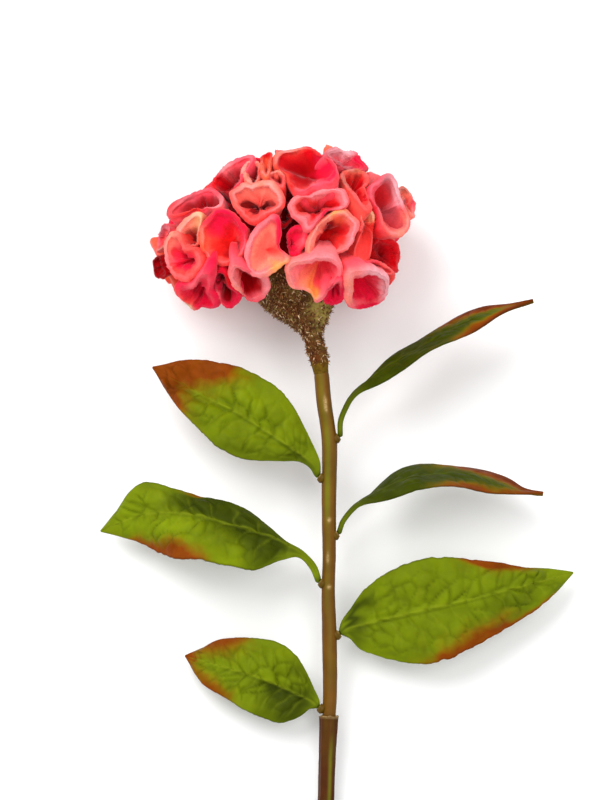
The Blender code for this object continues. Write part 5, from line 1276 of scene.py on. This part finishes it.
def funnel_forms(look):
    """The funnel with its rough skin, and the chaff that stands on it."""
    rings, normals = funnel_surface(FUNNEL_ROWS, FUNNEL_SIDES)
    middle = FUNNEL_ROWS // 2
    if normals[middle, 0] @ (rings[middle, 0] - rings[middle].mean(axis=0)) < 0:
        normals = -normals
    bare = bare_patch(rings)
    relief = 0.60 * lumps(rings, 2.6, 82) + 0.35 * lumps(rings, 1.1, 83)
    relief += 0.40 * np.abs(lumps(rings * (1, 0.45, 1), 1.6, 84))
    relief *= smooth_step(166.0, 174.0, rings[..., 1])
    foot = smooth_step(171.5, 167.0, rings[..., 1] + 1.6 * lumps(rings, 2.2, 85))
    rings = rings + normals * relief[..., None]
    skin = Form()
    points, faces = closed_rings(rings)
    skin.add(points, faces, bare=on_ends(bare), foot=on_ends(foot))
    rng = np.random.default_rng(SEED)
    count = look.chaff_count
    row = rng.integers(2, CHAFF_TOP_ROW, count * 2)
    side = rng.integers(0, FUNNEL_SIDES, count * 2)
    area = np.linalg.norm(rings[row, side] - rings[row].mean(axis=1), axis=1)
    keep = (rng.uniform(0, 34, count * 2) < area + 3) & (
        rng.uniform(0, 1, count * 2) > np.maximum(0.88 * bare, foot)[row, side]) & (
        rng.uniform(0, 1, count * 2) < np.interp(rings[row, side, 1], (172, 190), (0.4, 1.0)))
    row, side = row[keep][:count], side[keep][:count]
    count = len(row)
    along = unit(rings[row + 1, side] - rings[row, side])
    ways = (normals[row, side] * rng.uniform(0.1, 1.0, (count, 1))
            + along * rng.uniform(-0.9, 0.5, (count, 1)) + rng.uniform(-0.6, 0.6, (count, 3)))
    lengths = rng.uniform(0.5, 1.0, count) * look.chaff_length * IN_MM
    chaff = Form()
    feet = rings[row, side] + rng.uniform(-0.3, 0.3, (count, 3))
    points, faces = spikes(feet, ways, lengths, rng.uniform(0.2, 0.55, count), np.full(count, 0.4))
    chaff.add(points, faces, tone=np.repeat(rng.uniform(0, 1, count) ** 1.3, 4))
    return skin, chaff


# Materials

class Graph:
    """Adds shader nodes to a tree. Sockets are fed with other sockets, numbers or colours."""

    def __init__(self, tree):
        self.tree = tree

    def feed(self, node, sockets):
        for name, value in sockets.items():
            socket = node.inputs[name]
            if isinstance(value, bpy.types.NodeSocket):
                self.tree.links.new(value, socket)
            elif socket.type == "RGBA":
                socket.default_value = (*value, 1.0)[:4]
            else:
                socket.default_value = value

    def add(self, kind, sockets=None, **settings):
        node = self.tree.nodes.new("ShaderNode" + kind)
        for name, value in settings.items():
            setattr(node, name, value)
        self.feed(node, sockets or {})
        return node

    def place(self):
        return self.add("TexCoord").outputs["Object"]

    def painted(self, name, output="Fac"):
        """A value or colour that is painted on the mesh's points."""
        return self.add("Attribute", attribute_name=name).outputs[output]

    def noise(self, place, scale, detail=2.0):
        sockets = {"Vector": place, "Scale": scale, "Detail": detail}
        return self.add("TexNoise", sockets).outputs["Fac"]

    def ranged(self, value, low, high, to_low, to_high):
        return self.add("MapRange", {
            "Value": value, "From Min": low, "From Max": high, "To Min": to_low, "To Max": to_high,
        }).outputs["Result"]

    def math(self, operation, a, b):
        return self.add("Math", {0: a, 1: b}, operation=operation).outputs["Value"]

    def scaled(self, name, amount):
        return self.math("MULTIPLY", self.painted(name), amount)

    def layered(self, colour, *layers):
        """The colour under layers, each a share, its colour and how it mixes."""
        for share, over, *kind in layers:
            # A colour mix has its factor at socket 0, its colours at 6 and 7, its result at 2.
            colour = self.add("Mix", {0: share, 6: colour, 7: over}, data_type="RGBA",
                              blend_type=kind[0] if kind else "MIX").outputs[2]
        return colour

    def mottled(self, colour, amount, pattern, top=0.7):
        """The colour, darker where the pattern is low and lighter where it is high."""
        low, high = (self.math(way, 1.0, amount) for way in ("SUBTRACT", "ADD"))
        return self.layered(colour, (1.0, self.ranged(pattern, 0.3, top, low, high), "MULTIPLY"))


def pile(graph, given):
    """Short fibres: the colour shifts in soft patches, and the pile stands in fine tufts."""
    place = graph.place()
    tufts = graph.noise(place, given["Fibre Scale"], 3.0)
    patched = graph.mottled(given["Colour"], given["Mottle"], graph.noise(place, 240.0, 3.0))
    return {"Colour": graph.mottled(patched, given["Mottle"], tufts, 0.75), "Height": tufts}


def moulded(graph, given):
    """Moulded plastic with a painted finish: faint clouds of colour, fine grain and soft gloss."""
    place = graph.place()
    wear = graph.ranged(graph.noise(place, 320.0), 0.3, 0.7, -0.07, 0.07)
    return {
        "Colour": graph.mottled(given["Colour"], given["Cloud"], graph.noise(place, 110.0, 4.0)),
        "Roughness": graph.math("ADD", given["Roughness"], wear),
        "Height": graph.noise(place, given["Grain Scale"]),
    }


EFFECTS = {
    pile: ("fibre_pile", {"Mottle": 0.2, "Fibre Scale": 1300.0}),
    moulded: ("moulded_skin", {"Cloud": 0.15, "Roughness": 0.45, "Grain Scale": 900.0}),
}


def effect_group(effect):
    """The node group of a shared effect, made when it is first asked for."""
    name, amounts = EFFECTS[effect]
    if name in bpy.data.node_groups:
        return bpy.data.node_groups[name]
    tree = bpy.data.node_groups.new(name, "ShaderNodeTree")

    def new_socket(socket_name, in_out):
        kind = "NodeSocketColor" if socket_name == "Colour" else "NodeSocketFloat"
        return tree.interface.new_socket(socket_name, in_out=in_out, socket_type=kind)

    for socket_name, default in (("Colour", (0.8, 0.8, 0.8, 1)), *amounts.items()):
        new_socket(socket_name, "INPUT").default_value = default
    graph = Graph(tree)
    made = effect(graph, tree.nodes.new("NodeGroupInput").outputs)
    for socket_name in made:
        new_socket(socket_name, "OUTPUT")
    graph.feed(tree.nodes.new("NodeGroupOutput"), made)
    return tree


def start_material(name):
    finish = bpy.data.materials.new(name)
    finish.use_nodes = True
    return finish, Graph(finish.node_tree)


def dress(graph, effect, colour, amounts, relief, constants):
    """Runs a colour through an effect into the shader. relief is a distance and a strength."""
    placed = graph.add("Group", node_tree=effect_group(effect))
    graph.feed(placed, {"Colour": colour, **amounts})
    bump = graph.add("Bump", {
        "Height": placed.outputs["Height"], "Distance": relief[0], "Strength": relief[1]})
    shader = graph.tree.nodes["Principled BSDF"]
    graph.feed(shader, {"Base Color": placed.outputs["Colour"], "Normal": bump.outputs["Normal"]})
    if effect is moulded:
        graph.feed(shader, {"Roughness": placed.outputs["Roughness"]})
    graph.feed(shader, constants)


def velvet_material(name, look, fibre_scale=1300.0, tufts=0.00022):
    finish, graph = start_material(name)
    dress(graph, pile, graph.painted("dye", "Color"), {"Mottle": 0.10, "Fibre Scale": fibre_scale},
          (tufts, 0.6), {
              "Roughness": 0.95, "Specular IOR Level": 0.04, "Sheen Weight": look.sheen,
              "Sheen Roughness": 0.4, "Sheen Tint": (1.0, 0.62, 0.66), "Subsurface Weight": 0.10,
              "Subsurface Radius": (1.0, 0.35, 0.25), "Subsurface Scale": 0.0022,
          })
    return finish


def flock_material(look):
    finish, graph = start_material("funnel_flock")
    colour = graph.layered(look.chaff_dark, (graph.painted("bare"), look.chaff_olive),
                           (graph.painted("foot"), look.foot))
    dress(graph, pile, colour, {"Mottle": 0.30, "Fibre Scale": 900.0}, (0.0005, 0.9),
          {"Roughness": 0.85, "Specular IOR Level": 0.08})
    return finish


def chaff_material(look):
    """The flakes' tones run from dark brown through olive to pale gold; the palest flecks are partly
    pale chaff, partly painted glints.
    """
    finish, graph = start_material("funnel_chaff")
    ramp = graph.add("ValToRGB", {"Fac": graph.painted("tone")})
    stops = ramp.color_ramp.elements
    stops[0].color = (*look.chaff_dark, 1)
    stops[1].position, stops[1].color = 0.97, (*look.chaff_gold_glint, 1)
    for place, colour in ((0.50, linear((0.53, 0.31, 0.14))), (0.70, look.chaff_olive),
                          (0.84, linear((0.72, 0.49, 0.29)))):
        stops.new(place).color = (*colour, 1)
    shine = graph.ranged(graph.painted("tone"), 0.6, 1.0, 0.7, 0.32)
    dress(graph, pile, ramp.outputs["Color"], {"Mottle": 0.15, "Fibre Scale": 1500.0},
          (0.0001, 0.4), {"Roughness": shine, "Specular IOR Level": 0.3})
    return finish


def stem_material(name, base, dark, look):
    finish, graph = start_material(name)
    ragged = graph.ranged(graph.noise(graph.place(), 1100.0, 3.0), 0.35, 0.65, 0.35, 1.0)
    # The dark colour goes on the dark mask: painted shade on the stems' sides and round the leaves'
    # feet.
    colour = graph.layered(
        base, (graph.painted("dark"), dark), (graph.painted("olive"), look.olive),
        (graph.scaled("scar", ragged), look.scar), (graph.painted("end"), look.cut_end))
    dress(graph, moulded, colour, {"Cloud": 0.14, "Roughness": 0.42, "Grain Scale": 700.0},
          (0.0001, 0.5), {"Specular IOR Level": 0.10})
    return finish


def leaf_material(look):
    finish, graph = start_material("leaf_plastic")
    shade = graph.painted("shade")
    drift = graph.ranged(graph.noise(graph.place(), 160.0, 3.0), 0.3, 0.7, -0.12, 0.12)
    blush = graph.math("ADD", graph.painted("blush"), drift)
    colour = graph.layered(
        look.leaf,
        # Painted light where the shade marks are above 0, painted shade where they are below 0.
        (graph.ranged(shade, 0.0, 1.0, 0.0, 1.0), look.leaf_light),
        (graph.ranged(shade, 0.0, -1.0, 0.0, 1.0), look.leaf_dark),
        (graph.scaled("vein", 0.42), look.vein),
        (graph.ranged(blush, 0.10, 0.60, 0.0, 0.75), look.amber),
        (graph.ranged(blush, 0.35, 0.95, 0.0, 1.0), look.blush),
        # Painted shade in the creases and below the midrib.
        (graph.scaled("crease", 0.42), (0.35, 0.38, 0.2), "MULTIPLY"),
        (graph.scaled("margin", 0.6), (0.45, 0.38, 0.3), "MULTIPLY"),
        # Blush past 1 darkens the rust: painted shade on the leaves seen edge on.
        (graph.ranged(blush, 1.0, 1.5, 0.0, 1.0), (0.62, 0.52, 0.4), "MULTIPLY"),
        (graph.ranged(graph.painted("face"), 0.0, 1.0, 0.35, 0.0), look.leaf_back),
        (graph.scaled("root", 0.7), look.leaf_dark),
    )
    dress(graph, moulded, colour, {"Cloud": 0.16, "Roughness": 0.58, "Grain Scale": 800.0},
          (0.00012, 0.5), {"Specular IOR Level": 0.045})
    return finish


# Stage

def floor_mesh(look):
    mesh = bpy.data.meshes.new("floor")
    corners = ((-1, -1, 0), (1, -1, 0), (1, 1, 0), (-1, 1, 0))
    mesh.from_pydata([Vector(corner) * FLOOR_REACH for corner in corners], [], [(0, 1, 2, 3)])
    finish, graph = start_material("floor_paper")
    graph.feed(graph.tree.nodes["Principled BSDF"], {
        "Base Color": look.floor, "Roughness": 0.9, "Specular IOR Level": 0.1})
    mesh.materials.append(finish)
    return mesh


def studio_world(look):
    """Even light from all round. The camera itself sees pure white."""
    world = bpy.data.worlds.new("studio")
    world.use_nodes = True
    graph = Graph(world.node_tree)
    sky, wall = world.node_tree.nodes["Background"], graph.add("Background")
    for shade, strength in ((sky, look.fill), (wall, 1.0)):
        graph.feed(shade, {"Color": (1.0, 1.0, 1.0), "Strength": strength})
    seen = graph.add("MixShader", {
        0: graph.add("LightPath").outputs["Is Camera Ray"], 1: sky.outputs["Background"],
        2: wall.outputs["Background"]})
    graph.feed(world.node_tree.nodes["World Output"], {"Surface": seen.outputs["Shader"]})
    return world


# Sizes and colours that a user may change

def colour_property(name, description, colour):
    return FloatVectorProperty(name=name, description=description, subtype="COLOR", size=3,
                               min=0.0, max=1.0, default=tuple(linear(colour)))


def length_property(name, description, default, high):
    return FloatProperty(name=name, description=description, default=default, min=0.0, max=high,
                         unit="LENGTH", precision=5)


class CrestLook(bpy.types.PropertyGroup):
    """Sizes and dyes of the velvet crest."""
    sides: IntProperty(name="Sides", description="Points round each front ruffle", default=120,
                       min=24, max=160)
    rows: IntProperty(name="Rows", description="Points from a ruffle's root into its hollow",
                      default=40, min=16, max=64)
    lump_height: length_property("Lumps", "Height of the velvet's soft lumps", 0.00045, 0.002)
    pleat_height: length_property("Pleats", "Height of the pleats in a ruffle", 0.00040, 0.002)
    lip_width: length_property("Lips", "Width of the widest rolled lip", 0.0042, 0.01)
    nap_height: length_property("Nap", "Length of the fibres on the lips", 0.0008, 0.003)
    nap_count: IntProperty(name="Fibres", description="Fibres on each front ruffle's lip",
                           default=700, min=0, max=3000)
    sheen: FloatProperty(name="Sheen", description="Pale sheen of the velvet seen edge on",
                         default=0.22, min=0.0, max=1.0)


for dye_name, dye in DYES.items():
    CrestLook.__annotations__[dye_name] = colour_property(
        dye_name.capitalize(), f"Velvet dye: {dye_name}", dye)


class FunnelLook(bpy.types.PropertyGroup):
    """Chaff and colours of the flocked funnel."""
    chaff_count: IntProperty(name="Chaff", description="Flakes of chaff on the funnel",
                             default=11000, min=0, max=30000)
    chaff_length: length_property("Chaff length", "Length of the longest flakes", 0.0021, 0.004)
    chaff_dark: colour_property("Brown", "Dark brown of the flock", (0.33, 0.168, 0.055))
    chaff_olive: colour_property("Olive", "Bare olive patches", (0.60, 0.53, 0.27))
    # The gold is partly pale chaff, partly painted glints on the brightest flecks.
    chaff_gold_glint: colour_property("Gold", "Pale glittering flecks", (1.0, 0.88, 0.71))
    foot: colour_property("Foot", "The funnel's bare foot on the stem", (0.399, 0.30, 0.06))


class StemLook(bpy.types.PropertyGroup):
    """Colours of the two stem pieces."""
    brown: colour_property("Brown", "Lit side of the upper stem", (0.399, 0.257, 0.048))
    # The dark brown is painted shade on the sides of the upper stem.
    brown_shaded_side: colour_property("Dark brown", "Sides of the upper stem", (0.285, 0.133, 0.019))
    stub: colour_property("Stub", "Lit side of the lower stub", (0.314, 0.152, 0.009))
    # The dark stub colour is partly the stub's own darker brown, partly painted shade on its sides.
    stub_shaded_side: colour_property("Dark stub", "Sides of the lower stub", (0.209, 0.076, 0.019))
    olive: colour_property("Olive", "Green streak along the stem", (0.399, 0.38, 0.048))
    scar: colour_property("Scar", "Pale scars where leaves stand", (0.741, 0.627, 0.418))
    cut_end: colour_property("Cut end", "The cut through the stub", (0.665, 0.627, 0.399))


class LeafLook(bpy.types.PropertyGroup):
    """Relief and colours of the leaves."""
    relief: length_property("Relief", "Height of the puffs between the veins", 0.00125, 0.003)
    leaf: colour_property("Green", "The blade's own green", (0.394, 0.451, 0.019))
    # Light green and dark green are the painted light and painted shade that the shade marks put on
    # the blade; dark green also goes on the petiole's root.
    leaf_light: colour_property("Light green", "Where the blade is palest", (0.465, 0.532, 0.028))
    leaf_dark: colour_property("Dark green", "Where the blade is darkest", (0.209, 0.247, 0.009))
    leaf_back: colour_property("Back", "Underside of the blade", (0.342, 0.399, 0.076))
    vein: colour_property("Veins", "Midrib and side veins", (0.503, 0.551, 0.095))
    blush: colour_property("Blush", "Rust blush at edges and tips", (0.475, 0.218, 0.009))
    amber: colour_property("Amber", "Where the rust fades into the green", (0.475, 0.38, 0.019))


class StudioLook(bpy.types.PropertyGroup):
    """The floor and the light."""
    floor: colour_property("Floor", "The pale floor", (0.97, 0.97, 0.97))
    key_power: FloatProperty(name="Key", description="Power of the large soft lamp in watts",
                             default=19.0, min=0.0, max=500.0)
    fill: FloatProperty(name="Fill", description="Strength of the even light from all round",
                        default=0.80, min=0.0, max=5.0)


# Operators

class BuildCrest(bpy.types.Operator):
    """Make the velvet crest: front ruffles, back ruffles, their core and the nap on their lips"""
    bl_idname = "celosia.build_crest"
    bl_label = "Velvet crest"

    def execute(self, context):
        look = context.scene.celosia_crest
        colours = {name: np.array(getattr(look, name)) for name in DYES}
        velvet = velvet_material("crest_velvet", look)
        fibre = velvet_material("crest_nap", look, 2600.0, 0.00005)
        rng = np.random.default_rng(SEED + 1)
        front = front_ruffles()
        back = back_ruffles(front)
        sides = {"left": Form(), "right": Form(), "back": Form()}
        nap = Form()
        for seed, ruffle in enumerate(front + back):
            is_front = seed < len(front)
            grid = ruffle.get("grid", (look.sides, look.rows))
            points, place, angles = ruffle_surface(ruffle, *grid, look, seed)
            colour = dye_surface(ruffle, points, place, angles, colours, seed)
            made, faces = closed_rings(points)
            is_left = ruffle["centre"][0] < CREST_X
            side = "back" if not is_front else "left" if is_left else "right"
            sides[side].add(funnel_room(made, GAP), faces, dye=on_ends(colour))
            fibres, faces, tints = nap_spikes(points, grid_normals(points), colour,
                                              look.nap_count // (1 if is_front else 5),
                                              look.nap_height * IN_MM, rng)
            nap.add(fibres, faces, dye=tints)
        for side, form in sides.items():
            form.build("crest_ruffles_" + side, velvet, "crest_velvet", "crest")
        core_form(colours).build("crest_core", velvet, "crest_velvet", "crest")
        nap.build("crest_nap", fibre, "crest_velvet", "crest")
        return {"FINISHED"}


class BuildFunnel(bpy.types.Operator):
    """Make the funnel under the crest, with its rough skin and chaff"""
    bl_idname = "celosia.build_funnel"
    bl_label = "Flocked funnel"

    def execute(self, context):
        look = context.scene.celosia_funnel
        skin, chaff = funnel_forms(look)
        skin.build("funnel", flock_material(look), "receptacle_flock", "receptacle")
        chaff.build("funnel_chaff", chaff_material(look), "receptacle_flock", "receptacle")
        return {"FINISHED"}


class BuildStem(bpy.types.Operator):
    """Make the upper stem with its leaf scars, and the cut stub that holds it"""
    bl_idname = "celosia.build_stem"
    bl_label = "Stem"

    def execute(self, context):
        look = context.scene.celosia_stem
        upper = stem_material("stem_plastic", look.brown, look.brown_shaded_side, look)
        lower = stem_material("stub_plastic", look.stub, look.stub_shaded_side, look)
        upper_stem_form().build("stem_upper_skin", upper, "stem_plastic", "stem_upper")
        lower_stem_form().build("stem_lower_skin", lower, "stem_plastic", "stem_lower")
        return {"FINISHED"}


class BuildLeaves(bpy.types.Operator):
    """Make the six leaves, with veins and puffed blades"""
    bl_idname = "celosia.build_leaves"
    bl_label = "Leaves"

    def execute(self, context):
        look = context.scene.celosia_leaf
        finish = leaf_material(look)
        for name in LEAVES:
            leaf_form(name, look).build(name + "_blade", finish, "leaf_plastic", name)
        return {"FINISHED"}


class BuildStage(bpy.types.Operator):
    """Make the pale floor, the soft light and the camera above the stem"""
    bl_idname = "celosia.build_stage"
    bl_label = "Floor, light and camera"

    def execute(self, context):
        scene = context.scene
        look = scene.celosia_studio
        scene.view_settings.view_transform = "Standard"
        link("floor", floor_mesh(look), (0.0, 0.0, -FLOOR_DROP))
        scene.world = studio_world(look)
        for name, place, share in LAMPS:
            lamp = bpy.data.lights.new(name, "AREA")
            lamp.energy = look.key_power * share
            lamp.shape = "DISK"
            lamp.size = LAMP_SIZE
            way = (LIT_POINT - Vector(place)).to_track_quat("-Z", "Y")
            link(name, lamp, place).rotation_euler = way.to_euler()
        lens = bpy.data.cameras.new("camera")
        lens.sensor_fit = "VERTICAL"
        lens.sensor_height, lens.lens = SENSOR_HEIGHT, FOCAL_LENGTH
        lens.clip_start, lens.clip_end = 0.01, 50.0
        scene.camera = link("camera", lens, to_frame(CAMERA_AT))
        scene.camera.rotation_euler = (LEAN, 0.0, 0.0)
        return {"FINISHED"}


class CelosiaPanel(bpy.types.Panel):
    """The celosia's pieces and their settings"""
    bl_idname = "VIEW3D_PT_celosia"
    bl_label = "Cockscomb celosia"
    bl_space_type = "VIEW_3D"
    bl_region_type = "UI"
    bl_category = "Celosia"

    def draw(self, context):
        for operator, settings in PIECES:
            box = self.layout.box()
            box.operator(operator.bl_idname)
            look = getattr(context.scene, settings)
            for name in look.__annotations__:
                box.prop(look, name)


PIECES = (
    (BuildCrest, "celosia_crest"),
    (BuildFunnel, "celosia_funnel"),
    (BuildStem, "celosia_stem"),
    (BuildLeaves, "celosia_leaf"),
    (BuildStage, "celosia_studio"),
)
SETTINGS = (
    ("celosia_crest", CrestLook), ("celosia_funnel", FunnelLook), ("celosia_stem", StemLook),
    ("celosia_leaf", LeafLook), ("celosia_studio", StudioLook),
)


def register():
    for name, group in SETTINGS:
        bpy.utils.register_class(group)
        setattr(bpy.types.Scene, name, PointerProperty(type=group))
    for operator, _ in PIECES:
        bpy.utils.register_class(operator)
    bpy.utils.register_class(CelosiaPanel)


def unregister():
    bpy.utils.unregister_class(CelosiaPanel)
    for operator, _ in PIECES:
        bpy.utils.unregister_class(operator)
    for name, group in SETTINGS:
        delattr(bpy.types.Scene, name)
        bpy.utils.unregister_class(group)


def main():
    register()
    bpy.ops.celosia.build_crest()
    bpy.ops.celosia.build_funnel()
    bpy.ops.celosia.build_stem()
    bpy.ops.celosia.build_leaves()
    bpy.ops.celosia.build_stage()


if __name__ == "__main__":
    main()
